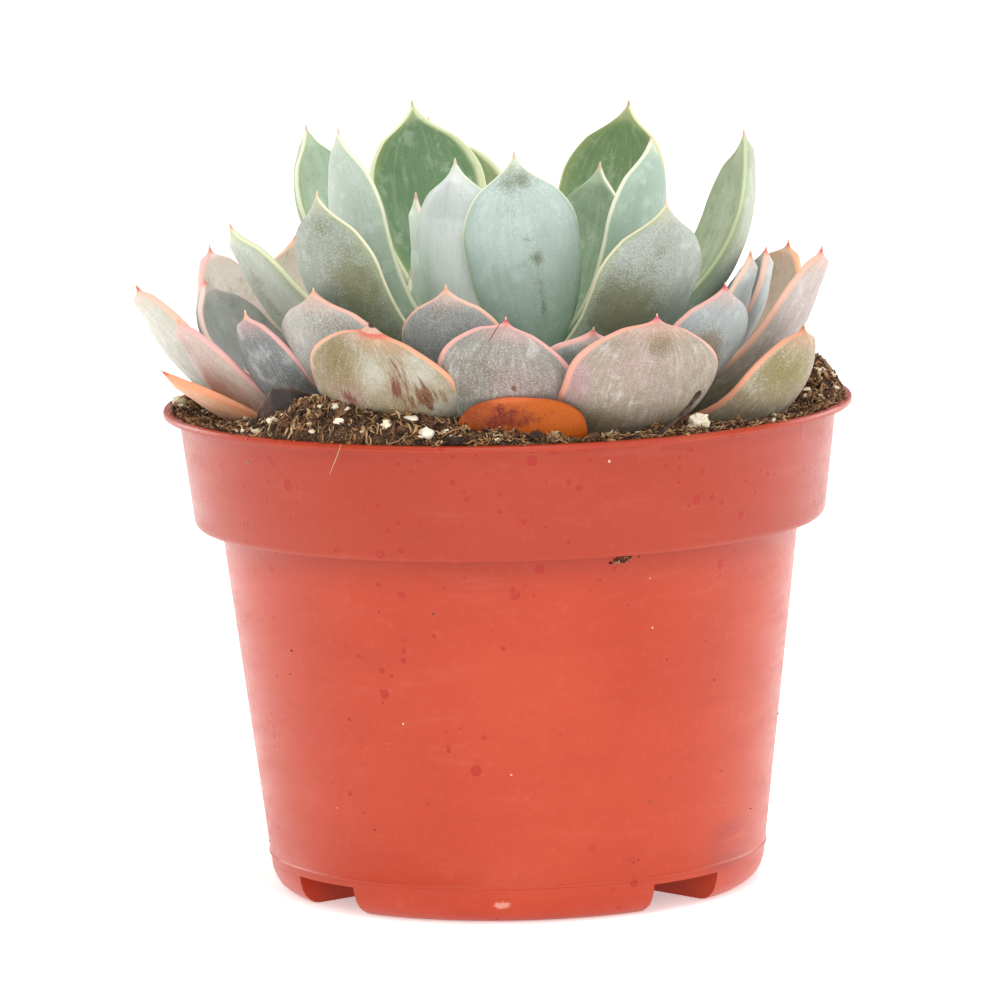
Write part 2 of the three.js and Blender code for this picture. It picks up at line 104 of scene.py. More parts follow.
# The leaves of each family, from the heart outwards: direction, height of the base, distance of the tip from
# the axis, height of the tip, width, thickness, slope at the base, slope at the tip, sideways swing of the
# tip, roll, and how far below the tip the leaf is widest.
ROSETTE = {
    "heart": (
        (60, 13.4, 2.2, 21, 4, 1.2, 70, 88, 0, 0, 4),
        (235, 13.0, 2.8, 22.5, 5, 1.4, 66, 88, 0, 0, 4.5),
        (335, 12.2, 5, 24.5, 7, 1.8, 58, 88, 0, 0, 5.5),
        (120, 11.6, 6, 26, 8, 2.0, 55, 86, 0, 0, 6),
        (205, 10.8, 8, 28, 9, 2.2, 50, 86, 0, 0, 7),
        (22, 10.2, 9, 28, 10, 2.4, 48, 86, 0, 0, 8),
        (314, 9.4, 13.4, 31, 13, 2.6, 38, 86, 0, 0, 10),
    ),
    "inner": (
        (196, 8.8, 15.3, 37, 14, 3.0, 40, 88, -6, 0, 13),
        (50, 8.2, 27, 39.2, 16.5, 3.2, 26, 84, 0, 0, 14),
        (240, 7.8, 19, 44.3, 18, 3.2, 42, 86, 5, 0, 15),
        (332, 7.4, 29.8, 47.4, 19.5, 3.4, 18, 88, -2, 0, 16),
        (210, 6.2, 32.3, 50, 17.5, 3.4, 20, 86, 0, 0, 16),
        (292.8, 6.0, 24, 46, 20.4, 3.6, 38, 88, -17.8, 0, 16),
        (150, 8.4, 19, 22, 14, 3.0, 24, 84, 0, 0, 11),
        (85, 8.6, 19, 31, 15, 3.0, 34, 84, 0, 0, 12),
        (8, 7.0, 25, 29, 17, 3.2, 22, 84, 0, 0, 13),
    ),
    "middle": (
        (62.3, 5.6, 45.6, 48.2, 21, 3.8, 20, 80, -2.5, 0, 16),
        (145, 5.4, 42, 46.7, 20, 3.8, 20, 82, 0, 0, 16),
        (109, 5.6, 40, 49.3, 22, 3.8, 26, 84, 4, 0, 16),
        (307, 4.6, 46, 38.4, 22.5, 3.8, 6, 88, 0, 0, 15),
        (230.2, 4.2, 48, 41.2, 18.5, 3.8, 6, 86, -1.2, 0, 15),
        (23, 4.0, 45.3, 44.8, 22, 3.8, 10, 94, -3, -8, 16),
        (168, 3.0, 49, 31, 20, 3.8, 10, 66, 0, 24, 14),
        (94, 2.6, 50, 45.2, 25, 3.8, 16, 84, 11, 0, 16),
    ),
    "second": (
        (258, 2.2, 48, 26, 18, 3.8, 2, 84, 0, 0, 12.5),
        (288, 2.0, 48, 18, 18, 3.6, 0, 60, 0, 0, 12.5),
        (316, 2.0, 52, 24, 20.5, 3.8, 2, 86, 0, 0, 12.5),
        (355, 2.2, 43, 25.6, 18, 3.6, 6, 84, 0, 0, 12.5),
        (12, 0.6, 47, 24.8, 19, 3.8, 2, 82, 0, 0, 12.5),
        (230, 0.4, 50.5, 25, 23, 3.8, 0, 88, 0, 0, 12.5),
        (165, 0.0, 54.6, 21, 20, 3.8, 0, 80, 0, -14, 12.5),
        (134.5, 1.2, 52.5, 26.2, 27, 3.8, 2, 84, 0, 0, 12.5),
        (112, -0.8, 53, 25, 20, 3.8, 0, 80, 0, 0, 12.5),
        (74, -0.4, 51, 24, 20, 3.8, 2, 80, 0, 0, 12.5),
        (40, -0.2, 46, 20, 19, 3.8, 2, 80, 0, 0, 12.5),
    ),
    "outer": (
        (244.5, -2.4, 57, 20.6, 27, 4.0, -6, 88, 2, 0, 15),
        (295.5, -2.2, 59, 21, 29, 4.0, -6, 90, 0, 0, 15),
        (329, -2.6, 59.3, 16, 23, 4.0, -5, 82, 0, 0, 15),
        (348, -2.0, 56.2, 27, 22, 4.0, -4, 74, 0, 0, 15.5),
        (31, -3.2, 59, 23.5, 20, 4.0, -4, 84, 0, 0, 15),
        (176, -2.4, 64.5, 21.3, 22, 4.0, -5, 64, 0, 14, 15.5),
        (196, -3.6, 59, 17.8, 20, 4.0, -6, 62, 0, 0, 15),
        (213, -2.2, 53, 20.3, 17.5, 4.0, -4, 78, 0, 0, 15),
        (267.5, -4.8, 55, 21.3, 23.5, 4.0, -6, 88, 2.5, 0, 15),
        (150, -3.6, 60.2, 25, 20.5, 4.0, -4, 84, 0, 0, 15),
        (124, -4.8, 59, 15, 21, 4.0, -5, 74, 0, 0, 15),
        (92, -4.8, 59, 16, 22, 4.0, -5, 74, 0, 0, 15),
        (60, -4.8, 59, 14, 21, 4.0, -5, 74, 0, 0, 15),
    ),
}
# Name, then the same.
LEAVES = [(f"{family}_leaf_{n}", *row) for family, rows in ROSETTE.items() for n, row in enumerate(rows, 1)]
LEAVES.append(("withered_leaf", 201, -7.5, 63.6, 9.5, 14, 2.2, -4, 36, 0, 0, 16))

# Colours of a leaf: outer face, inner face, margin, tip, rubbed skin; then how strongly the bloom is specked.
LOOKS = {
    "heart": ("a3bd9c 9dbb94 dfe3c2 d9b49c 8f8d68", 0.1),
    "inner": ("c2cec4 b4c6b0 e6e4cc d8b49c 8f8d68", 0.15),
    "middle": ("a7b3a6 88a87d dcdcb8 d0a88c 8d8a62", 0.2),
    "second": ("a9aaa6 a8b0a2 edc4b0 e08868 8a8062", 0.35),
    "outer": ("a8a198 aeb09e eeb29a d0605a 8a7d58", 0.35),
    "withered": ("eeb48e e8a070 eca078 d0543c c9803f", 0.05),
    "inner_leaf_1": ("e6ece4 c4d0c0 efdfcc d9a29a 8f8d68", 0.1),
    "inner_leaf_2": ("a4b8a2 8fa586 e6e4cc d8b8a0 8f8d68", 0.1),
    "inner_leaf_3": ("e4e7e7 b8c8b4 e6e6d4 dccab0 9a9a80", 0.15),
    "inner_leaf_4": ("a8beae 9db99c e9e6cf d8c0a8 8f8d68", 0.1),
    "inner_leaf_5": ("bcc9bc a9bfa4 e6e3cb d9b8a4 88886a", 0.2),
    "inner_leaf_6": ("c4d5cf b0c8ba eaead2 d2b498 74765a", 0.2),
    "middle_leaf_1": ("86a57e 6f8a5a dfd9ac b08868 8d8a62", 0.1),
    "middle_leaf_2": ("a8bda4 aec3a8 e2e3c8 d6b8a0 8d8a62", 0.1),
    "middle_leaf_3": ("86a57e 6d8c64 dde2b8 c4a878 8d8a62", 0.1),
    "middle_leaf_4": ("a6ada4 9ab08e dcd4b2 d8b8a4 6f7048", 0.4),
    "middle_leaf_5": ("989f92 a0b492 e2dcbe d8b8a0 74764a", 0.35),
    "middle_leaf_6": ("bac2ae b4bf9e c6cea8 dab0a4 8d8a62", 0.2),
    "middle_leaf_7": ("d2d7ca d8dfcb e6e4bc d8a088 82813f", 0.25),
    "middle_leaf_8": ("a0a878 98a878 e4e4c0 d8d0a8 8d8a62", 0.1),
    "second_leaf_1": ("9a9c9b 98a294 edb9a2 dea080 7d7460", 0.55),
    "second_leaf_2": ("a5a8a6 9ca698 eab0a8 de8070 8a8062", 0.4),
    "second_leaf_3": ("a2a9a8 a0aca2 ebb0a8 c84a50 7d6644", 0.3),
    "second_leaf_4": ("c4cbcc b4c0c0 eec8b2 e0907a 8a8062", 0.2),
    "second_leaf_5": ("b8c0c0 aeb8b6 eec0ac de8070 8a8062", 0.2),
    "second_leaf_6": ("b0aca4 9ca69a edb8a6 e0a484 7d7460", 0.6),
    "second_leaf_7": ("a8aaaa b4b6b4 efd2c6 de8070 8a8062", 0.3),
    "second_leaf_8": ("dcc4aa fbe8dc f4c09c e08a74 a08a5a", 0.15),
    "outer_leaf_1": ("9c8a6a a3a48c eaa886 d06050 7c683c", 0.25),
    "outer_leaf_2": ("a49684 a3a796 eba894 c8446a 7c6a48", 0.35),
    "outer_leaf_3": ("a89a7e a89c7a e6a080 b0704c 80742e", 0.35),
    "outer_leaf_4": ("c2b6b0 b8b0a6 eeb8a2 d65c50 9a8660", 0.25),
    "outer_leaf_5": ("c8ac8e cab09a e9ac80 ce5c50 94703c", 0.2),
    "outer_leaf_6": ("cecbbe c0c8b6 eec4ae d4584e 9a9468", 0.12),
    "outer_leaf_7": ("d2c0b4 b8aea8 eeb4ae e8aa84 8a7660", 0.3),
    "outer_leaf_8": ("7e8182 969c94 edb4b0 e8b08a 6e5c44", 0.4),
    "outer_leaf_9": ("938f88 9ca094 edaea6 d04a50 6c5e38", 0.45),
    "outer_leaf_10": ("cfccc6 ece4dc eebab2 de8070 8a8062", 0.2),
}

# ---- soil and litter

CRUMB_SIZES = ((3.4, 1.3), (1.6, 1.1), (0.7, 0.5))  # how wide and high the soil's lumps are
SOIL_DEPTH = 1.6  # below the rim, away from the mounds
SOIL_RADIUS = RIM_RADIUS - 1.6
SOIL_GAP = 0.6  # between the soil and the pot's wall
SOIL_TOP = RIM_TOP - 0.25  # where it meets the lip
# x, y, width, height
MOUNDS = (
    (0, 0, 22, -5), (-25, -45, 11, 7.6), (-6, -53, 9, 1.6), (4, -55, 8, 1.8), (53, 6, 8, 7),
    (48, 20, 10, 2), (30, -46, 10, 1.8), (-46, -26, 9, 1.4), (-37, -40, 7, 2.6), (-52, -8, 7, -2),
    (-30, 40, 18, 1.5),
)


# ---- materials


def tint(code):
    """A colour written as six hexadecimal digits, as linear red, green, blue and alpha."""
    parts = [int(code[i : i + 2], 16) / 255 for i in (0, 2, 4)]
    return (*(p / 12.92 if p <= 0.04045 else ((p + 0.055) / 1.055) ** 2.4 for p in parts), 1.0)


class Value:
    """A socket of a finish. Arithmetic on it adds Math nodes."""

    def __init__(self, finish, socket):
        self.finish, self.socket = finish, socket

    def _math(self, operation, *values):
        return self.finish.node("ShaderNodeMath", {"operation": operation}, dict(enumerate(values)))

    def __add__(self, other):
        return self._math("ADD", self, other)

    def __sub__(self, other):
        return self._math("SUBTRACT", self, other)

    def __rsub__(self, other):
        return self._math("SUBTRACT", other, self)

    def __mul__(self, other):
        return self._math("MULTIPLY", self, other)

    def __truediv__(self, other):
        return self._math("DIVIDE", self, other)

    __radd__ = __add__
    __rmul__ = __mul__

    def clipped(self):
        """Kept between 0 and 1."""
        return self._math("MINIMUM", self._math("MAXIMUM", self, 0.0), 1.0)


class Finish:
    """A node material of one principled shader, whose colour is built up coat by coat."""

    def __init__(self, name):
        self.material = bpy.data.materials.new(name)
        self.material.use_nodes = True
        self.tree = self.material.node_tree
        self.tree.nodes.clear()
        self.place = self.node("ShaderNodeTexCoord", out="Object")
        self.colour = None

    def node(self, kind, settings=None, sockets=None, out=0):
        """Adds a node, makes its settings, then fills its sockets with values or links."""
        made = self.tree.nodes.new(kind)
        for key, value in (settings or {}).items():
            if key == "stops":
                self._ramp(made.color_ramp, value)
            else:
                setattr(made, key, value)
        for key, value in (sockets or {}).items():
            if isinstance(value, Value):
                self.tree.links.new(value.socket, made.inputs[key])
            else:
                made.inputs[key].default_value = value
        return Value(self, made.outputs[out]) if made.outputs else made

    def _ramp(self, ramp, stops):
        while len(ramp.elements) < len(stops):
            ramp.elements.new(1.0)
        for element, (position, code) in zip(ramp.elements, stops):
            element.position, element.color = position, tint(code)

    def noise(self, size, detail=2.0, place=None, roughness=0.5, offset=None):
        """Soft noise whose blots are about size millimetres across."""
        where = self.vector("ADD", self.place, offset) if offset else place or self.place
        sockets = {"Vector": where, "Scale": 1 / (size * MM), "Detail": detail, "Roughness": roughness}
        return self.node("ShaderNodeTexNoise", None, sockets)

    def vector(self, operation, *values):
        """Arithmetic on places."""
        return self.node("ShaderNodeVectorMath", {"operation": operation}, dict(enumerate(values)))

    def step(self, value, low, high, first=0.0, last=1.0):
        """A smooth rise from first to last as value goes from low to high."""
        sockets = {0: value, 1: low, 2: high, 3: first, 4: last}
        return self.node("ShaderNodeMapRange", {"interpolation_type": "SMOOTHSTEP"}, sockets)

    def stored(self, name, out="Fac"):
        """What the piece's mesh holds under a name."""
        return self.node("ShaderNodeAttribute", {"attribute_name": name}, out=out)

    def along(self, axis):
        """Millimetres along an axis."""
        return self.node("ShaderNodeSeparateXYZ", None, {0: self.place}, axis) / MM

    def mix(self, factor, first, second):
        """A blend of two colours, or of colour codes."""
        first, second = (tint(colour) if isinstance(colour, str) else colour for colour in (first, second))
        return self.node("ShaderNodeMix", {"data_type": "RGBA"}, {0: factor, 6: first, 7: second}, 2)

    def coat(self, mask, colour, share=1.0):
        """Lays a colour over the finish where the mask is, let down to a share with what lies below it."""
        if share < 1:
            colour = self.mix(share, self.colour, colour)
        self.colour = self.mix(mask, self.colour, colour)

    def scattered(self, size, share, reach, offset=(0, 0, 0)):
        """Round spots, in a share of cells that size across, up to a reach given as a share of the cell."""
        sockets = {"Vector": self.vector("ADD", self.place, offset), "Scale": 1 / (size * MM)}
        near, which = (self.node("ShaderNodeTexVoronoi", None, sockets, out) for out in ("Distance", "Color"))
        parts = (self.node("ShaderNodeSeparateColor", None, {0: which}, out) for out in ("Red", "Green"))
        chance, width = parts
        chosen = self.step(chance, 1 - share, 1.02 - share)
        return chosen * self.step(near / (width * reach + reach * 0.3), 1.0, 0.75)

    def spot(self, centre, size, soft=0.35):
        """A soft-edged patch of half sizes in millimetres about a centre in millimetres, 1 in its middle."""
        away = self.vector("SUBTRACT", self.place, tuple(c * MM for c in centre))
        scaled = self.vector("DIVIDE", away, tuple(s * MM for s in size))
        reach = self.node("ShaderNodeVectorMath", {"operation": "LENGTH"}, {0: scaled}, "Value")
        return self.step(reach, soft, 1.0, 1.0, 0.0)

    def surface(self, roughness, height, depth, constants=None):
        """Ends the tree in a principled shader. Depth is the bump's height in millimetres."""
        bump = {"Strength": 1.0, "Distance": depth * MM, "Height": height}
        sockets = {"Base Color": self.colour, "Roughness": roughness, **(constants or {})}
        sockets["Normal"] = self.node("ShaderNodeBump", None, bump)
        shader = self.node("ShaderNodeBsdfPrincipled", None, sockets)
        self.node("ShaderNodeOutputMaterial", None, {"Surface": shader})
        return self.material


def leaf_finish():
    """Waxy leaf skin: powdery bloom, rubbed, scarred and streaked places, pale margins and a coloured tip."""
    f = Finish("leaf_skin")
    step, stored = f.step, f.stored
    face, tip, rim_mm, flow = stored("face"), stored("tip_mm"), stored("rim_mm"), stored("flow", "Vector")
    blush, streak, scar, stub = (stored(name) for name in ("blush", "streak", "scar", "stub"))
    outside, inside = step(face, 0.15, -0.15), step(face, -0.15, 0.15)
    blots, grain = f.noise(2.6, 4, offset=(0.4, 0.1, 0.2)), f.noise(0.3, 3, roughness=0.7)
    streaks, lines = f.noise(0.9, 4, flow, 0.65), f.noise(0.42, 5, flow, 0.75)
    mottle = f.noise(3.4, 5, roughness=0.68, offset=(0.1, 0.3, 0.7))
    f.colour = f.mix(outside, stored("inner_tint", "Color"), stored("outer_tint", "Color"))
    # Greener and duller towards the base, with cloudy and streaky places.
    f.coat(step(tip, 12, 34) * stored("deep"), "6f8a70", 0.6)
    f.coat(step(f.noise(9, 3), 0.4, 0.65, 0.0, 0.18), "5f7462", 0.5)
    f.coat(step(streaks, 0.45, 0.62, 0.0, 0.22) * outside, "55604f", 0.35)
    f.coat(step(mottle, 0.5, 0.68, 0.0, 0.5) * inside, "4a6440", 0.5)
    f.coat(step(mottle, 0.48, 0.34, 0.0, 0.4) * inside, "e4ead8", 0.45)
    f.coat(step(streaks, 0.5, 0.36, 0.0, 0.25) * inside, "e8ecdc", 0.4)
    f.coat(step(grain, 0.56, 0.66, 0.0, 0.3) * inside, "55663f")
    # Bloom on the outer face: fine lines along the leaf, pale clouds, bare places, dark and pale specks.
    lined = stored("lined") * outside
    f.coat(lined * step(lines, 0.5, 0.66) * 0.38, "6b6248")
    f.coat(lined * step(lines, 0.47, 0.34) * 0.3, "eceadf")
    f.coat(step(blots, 0.5, 0.72, 0.0, 0.4) * outside, "eef2f0", 0.6)
    f.coat(blush * step(blots, 0.3, 0.6, 0.5, 1.0), stored("blush_tint", "Color"))
    f.coat(stored("bare") * step(blots, 0.3, 0.5, 0.4, 0.9), "bfbdae")
    powder = stored("specks") * outside
    patchy = step(f.noise(4, 2), 0.35, 0.6, 0.35, 1.0)
    f.coat(powder * patchy * step(grain, 0.49, 0.62) * 0.7, "5a5a50")
    f.coat((powder + 0.2) * outside * step(grain, 0.45, 0.33) * 0.4, "f0f2ee")
    # Rubbed skin, torn streaks and brown scars.
    worn = step(stored("rub") + grain * 1.1 + blots * 0.9 - 1.0, 0.2, 0.85)
    f.coat(worn * 0.75, f.mix(step(blots, 0.4, 0.6) * 0.3, stored("rub_tint", "Color"), "5d5a38"))
    torn = streak + f.noise(0.5, 5, flow, 0.75) * 1.6 + blots * 0.4 - 1.0
    f.coat(step(torn, 0.4, 0.76) * step(streak, 0.05, 0.3), "74433a")
    frayed = scar * 0.55 + f.noise(1.0, 4, flow, 0.72) * 0.95 + grain * 0.3 - 0.9
    healed = step(frayed, 0.0, 0.12) * step(scar, 0.03, 0.3)
    f.coat(healed * 0.9, f.mix(step(grain + lines * 0.5, 0.55, 0.95), "4a281c", "96704e"))
    # The fringe beside the margin, the margin, the tip and a broken tip's stub.
    wander = f.noise(3.5, 2, offset=(0.2, 0.5, 0.9)) * 0.8 + grain * 0.35
    near = step(rim_mm / stored("fringe_mm"), 1.0, 0.15) * step(face, 0.1, -0.1, 0.6, 0.45)
    f.coat(near, stored("fringe_tint", "Color"))
    margin = f.mix(step(blush, 0.5, 0.8), stored("rim_tint", "Color"), "c4557f")
    rim = rim_mm / stored("rim_width") * step(face, -0.1, 0.4, 0.8, 1.5)
    f.coat(step(rim + wander * 0.5 - 0.3, 1.3, 0.6) * 0.94, margin)
    f.coat(step(tip + wander * 2, 6.5, 2.0) * 0.4, margin)
    f.coat(step(tip + wander * 0.8 - stub * 0.8, 2.3, 1.1), stored("tip_tint", "Color"))
    f.coat(step(tip, 0.7, 0.3) * 0.7, "e4ccae")
    f.coat(stub * step(tip + grain, 2.3, 2.0), "cfa892")
    f.coat(stub * step(tip + wander, 1.35, 1.15), "4a2c22")
    rough = 0.58 - worn * 0.1 + step(grain, 0.3, 0.7, -0.05, 0.08)
    height = grain * 0.4 + streaks * 0.3 + blots * 0.6 - healed * 0.5 + f.noise(0.9, 2) * 0.4
    flesh = {"Subsurface Weight": 0.15, "Subsurface Scale": 0.0012, "Subsurface Radius": (0.7, 0.7, 0.5)}
    return f.surface(rough, height, 0.08, {**flesh, "Specular IOR Level": 0.3})


def plastic_finish():
    """Thin moulded plastic with faint smears, dried drops, specks of soil and dust, a smudge, painted shade
    under the collar and a small painted glint at the foot.
    """
    f = Finish("pot_plastic")
    step, height, axis = f.step, f.along("Z"), AXIS_X / MM
    broad, fine = f.noise(26, 3), f.noise(1.6, 4, roughness=0.6)
    smears = f.noise(7, 5, f.vector("MULTIPLY", f.place, (0.35, 0.35, 1.6)), 0.7)
    f.colour = f.mix(step(broad, 0.3, 0.7), "b23614", "b83c19")
    f.coat(step(fine, 0.5, 0.8, 0.0, 0.12), "d87a5c")
    # Painted shade under the collar: darker from 57 mm up to the collar's foot, and kept at that depth over
    # the collar and everything higher.
    f.coat(step(height, 57, BAND_FOOT, 0.0, 0.4), "8e2206")
    f.coat(step(smears, 0.5, 0.7, 0.0, 0.16), "963018")
    f.coat(step(smears, 0.46, 0.3, 0.0, 0.06), "dc8a70")
    f.coat(f.spot((axis + 38, -24, 9), (9, 14, 7)) * step(smears, 0.3, 0.6) * 0.35, "7c2c34")
    # A small pale painted glint low on the front of the foot, broken up by fine noise.
    foot_glint = f.spot((axis - 3, -BODY_FOOT_RADIUS, 3.4), (4, 4, 1.4), 0.0)
    f.coat(step(foot_glint * 0.4 + f.noise(0.9, 4, roughness=0.7), 0.72, 0.9) * 0.5, "eab8a8")
    splash = f.spot((axis - 42, -40, 77), (20, 16, 11))
    wet = f.noise(16, 2, offset=(0.3, 0.1, 0.5)) + step(height, 50, 72, 0.0, 0.16) + splash * 0.3
    drops = f.scattered(3.8, 0.4, 0.24) + f.scattered(1.9, 0.35, 0.26, (0.02, 0.01, 0.03))
    drops = (drops * step(wet, 0.54, 0.62)).clipped() * step(fine, 0.2, 0.45)
    f.coat(drops * 0.75, "a41400")
    sprinkled = step(f.noise(22, 2, offset=(0.7, 0.3, 0.1)), 0.45, 0.6, 0.15, 1.0)
    specks = f.scattered(5, 0.3, 0.07, (0.05, 0.02, 0.01)) * step(sprinkled, 0.2, 0.6, 0.3, 1.0)
    f.coat(specks.clipped() * 0.85, "4a2018")
    f.coat(f.scattered(6, 0.25, 0.05, (0.01, 0.07, 0.04)) * 0.7, "f0cdb4")
    rough = 0.3 + step(smears, 0.4, 0.7, 0.0, 0.1) + step(fine, 0.4, 0.7, 0.0, 0.05) - drops * 0.08
    relief = broad * 2.0 + fine * 0.2 + f.noise(0.3, 2) * 0.05 + drops * 0.6 + smears * 0.8
    gloss = {"Specular IOR Level": 0.36, "Coat Weight": 0.12, "Coat Roughness": 0.2}
    return f.surface(rough, relief, 0.06, gloss)


def soil_finish():
    """Damp dark peat with paler crumbs."""
    f = Finish("peat")
    blots, grain = f.noise(0.9, 4, roughness=0.7), f.noise(0.35, 3, roughness=0.7)
    f.colour = f.mix(f.step(blots, 0.38, 0.6), "2a1a10", "64432a")
    f.coat(f.step(grain, 0.52, 0.62), "9c7448")
    f.coat(f.step(grain, 0.46, 0.36) * 0.7, "1c120c")
    return f.surface(0.92, blots * 0.8 + grain * 0.8, 0.8)


def shaded_finish(name, stops, roughness, size=0.5, depth=0.15):
    """A finish whose pieces take their own colour from a ramp by their shade attribute."""
    f = Finish(name)
    shade = f.stored("shade") * 0.85 + f.noise(size, 3, roughness=0.7) * 0.3 - 0.08
    f.colour = f.node("ShaderNodeValToRGB", {"stops": stops}, {0: shade.clipped()})
    return f.surface(roughness, f.noise(size, 3, roughness=0.7), depth)


def stem_finish():
    """Green-brown stem skin with rings of old leaf scars."""
    f = Finish("stem_bark")
    rings = f.noise(3, 3, f.vector("MULTIPLY", f.place, (0.4, 0.4, 1.6)))
    f.colour = f.mix(f.step(rings, 0.35, 0.65), "8d9a6c", "8a6a48")
    return f.surface(0.8, rings + f.noise(0.5, 3) * 0.4, 0.4)


def fallen_finish():
    """A shed leaf, still fleshy: orange-red, bruised in its middle, with a brighter rim along its top."""
    f = Finish("fallen_leaf_skin")
    step, broad, blots, grain = f.step, f.noise(6, 3), f.noise(1.8, 4, roughness=0.65), f.noise(0.3, 2)
    low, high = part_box("fallen_leaf")
    middle, top, up = (low.x + high.x) / 2 / MM, high.z / MM, f.along("Z")
    f.colour = f.mix(step(f.along("X") - middle + broad * 4, -8, 4), "86340e", "b05002")
    f.coat(step(broad, 0.4, 0.65, 0.0, 0.5), "b4581c")
    f.coat(step(up + broad * 2, top - 5.5, top - 8.5) * 0.7, "6c2812")
    patch = f.spot((middle - 2.6, low.y / MM, top - 3.3), (8, 9, 3.6), 0.1)
    ragged = f.noise(2.4, 5, roughness=0.6, offset=(0.013, 0.002, 0.03))
    f.coat(step(patch * 0.34 + ragged, 0.62, 0.84) * 0.92, "661006")
    f.coat(step(patch * 0.3 + blots, 0.62, 0.9) * 0.5, "7a2412")
    f.coat(step(up + broad * 1.6, top + 0.1, top + 0.8) * 0.7, "d2683a")
    f.coat(step(grain, 0.5, 0.7, 0.0, 0.2), "d88a48")
    return f.surface(0.4 + blots * 0.15, broad * 2 + blots + grain * 0.2, 0.14, {"Specular IOR Level": 0.25})


def plain_finish(name, dark, light, roughness, size, depth):
    """Two tones mixed by noise, with matching bump."""
    f = Finish(name)
    blots, grain = f.noise(size, 4, roughness=0.65), f.noise(size / 4, 3)
    f.colour = f.mix(f.step(blots, 0.35, 0.65), dark, light)
    return f.surface(roughness, blots + grain * 0.4, depth)


def floor_finish():
    """Matt white paper that glows a little, so that it stays pale under soft light."""
    f = Finish("floor_paper")
    f.colour = f.mix(f.noise(400, 2), "fbfbfa", "f8f8f7")
    return f.surface(0.9, f.noise(3, 2), 0.02, {"Emission Color": (1, 1, 1, 1), "Emission Strength": 0.4})


# ---- mesh tools


def primitive(kind, name, **settings):
    """Adds a primitive as a piece of that name, with nothing else selected."""
    bpy.ops.object.select_all(action="DESELECT")
    getattr(bpy.ops.mesh, f"primitive_{kind}_add")(**settings)
    piece = bpy.context.active_object
    piece.name = piece.data.name = name
    return piece


def choose(piece):
    """Selects a piece alone and makes it the active one."""
    bpy.ops.object.select_all(action="DESELECT")
    piece.select_set(True)
    bpy.context.view_layer.objects.active = piece


def close_up():
    """Turns all faces of the piece in edit mode outwards and leaves edit mode."""
    bpy.ops.mesh.select_all(action="SELECT")
    bpy.ops.mesh.normals_make_consistent(inside=False)
    bpy.ops.object.mode_set(mode="OBJECT")


def box_of(node):
    """Lowest corner, highest corner, middle and half size of a node's box, in metres."""
    low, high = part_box(node)
    return [np.array(corner) for corner in (low, high, (low + high) / 2, (high - low) / 2)]


def points_of(piece):
    """The points of a piece, one row each."""
    spots = np.empty(len(piece.data.vertices) * 3)
    piece.data.vertices.foreach_get("co", spots)
    return spots.reshape(-1, 3)


def set_points(piece, spots):
    """Moves the points of a piece."""
    piece.data.vertices.foreach_set("co", np.asarray(spots, dtype=np.float32).ravel())
    piece.data.update()


def add_attribute(piece, name, values, kind="FLOAT"):
    """Stores a number, colour or vector for each point of a piece."""
    attribute = piece.data.attributes.new(name, kind, "POINT")
    key = {"FLOAT": "value", "FLOAT_COLOR": "color", "FLOAT_VECTOR": "vector"}[kind]
    attribute.data.foreach_set(key, np.asarray(values, dtype=np.float32).ravel())


def apply_modifier(piece, kind, **settings):
    """Adds a modifier, makes its settings and applies it."""
    choose(piece)
    modifier = piece.modifiers.new(kind.lower(), kind)
    for key, value in settings.items():
        setattr(modifier, key, value)
    bpy.ops.object.modifier_apply(modifier=modifier.name)


def settle(piece, finish, node, slot, smooth_angle=None):
    """Gives a finished piece its place in its mesh, its material, its body and the node it stands for."""
    choose(piece)
    bpy.ops.object.transform_apply(location=True, rotation=True, scale=True)
    if smooth_angle is None:
        bpy.ops.object.shade_smooth()
    else:
        bpy.ops.object.shade_smooth_by_angle(angle=math.radians(smooth_angle))
    piece.data.materials.clear()
    piece.data.materials.append(finish)
    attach(piece, ROOT)
    if node:
        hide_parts(node)


def turned(name, profile, sides):
    """A closed shell about the pot's axis: a filled circle, drawn out ring by ring through a profile."""
    radius, height = profile[0]
    place = (AXIS_X, 0, height * MM)
    piece = primitive("circle", name, vertices=sides, radius=radius * MM, fill_type="NGON", location=place)
    bpy.ops.object.mode_set(mode="EDIT")
    bpy.ops.mesh.select_mode(type="FACE")
    bpy.ops.mesh.select_all(action="SELECT")
    for next_radius, next_height in profile[1:]:
        rise = (next_height - height) * MM
        bpy.ops.mesh.extrude_region_move(TRANSFORM_OT_translate={"value": (0, 0, rise)})
        ratio = next_radius / radius
        centre = (AXIS_X, 0, next_height * MM)
        bpy.ops.transform.resize(value=(ratio, ratio, 1), center_override=centre)
        radius, height = next_radius, next_height
    close_up()
    return piece


# ---- pot


def body_radius(height):
    """Outside radius of the tapered body at a height."""
    share = (height - SEAM) / (BAND_FOOT - SEAM)
    return BODY_FOOT_RADIUS + (BODY_TOP_RADIUS - BODY_FOOT_RADIUS) * share


def band_radius(height):
    """Outside radius of the collar at a height."""
    share = (height - BAND_FOOT) / (RIM_TOP - LIP - BAND_FOOT)
    return BAND_FOOT_RADIUS + (BAND_TOP_RADIUS - BAND_FOOT_RADIUS) * share


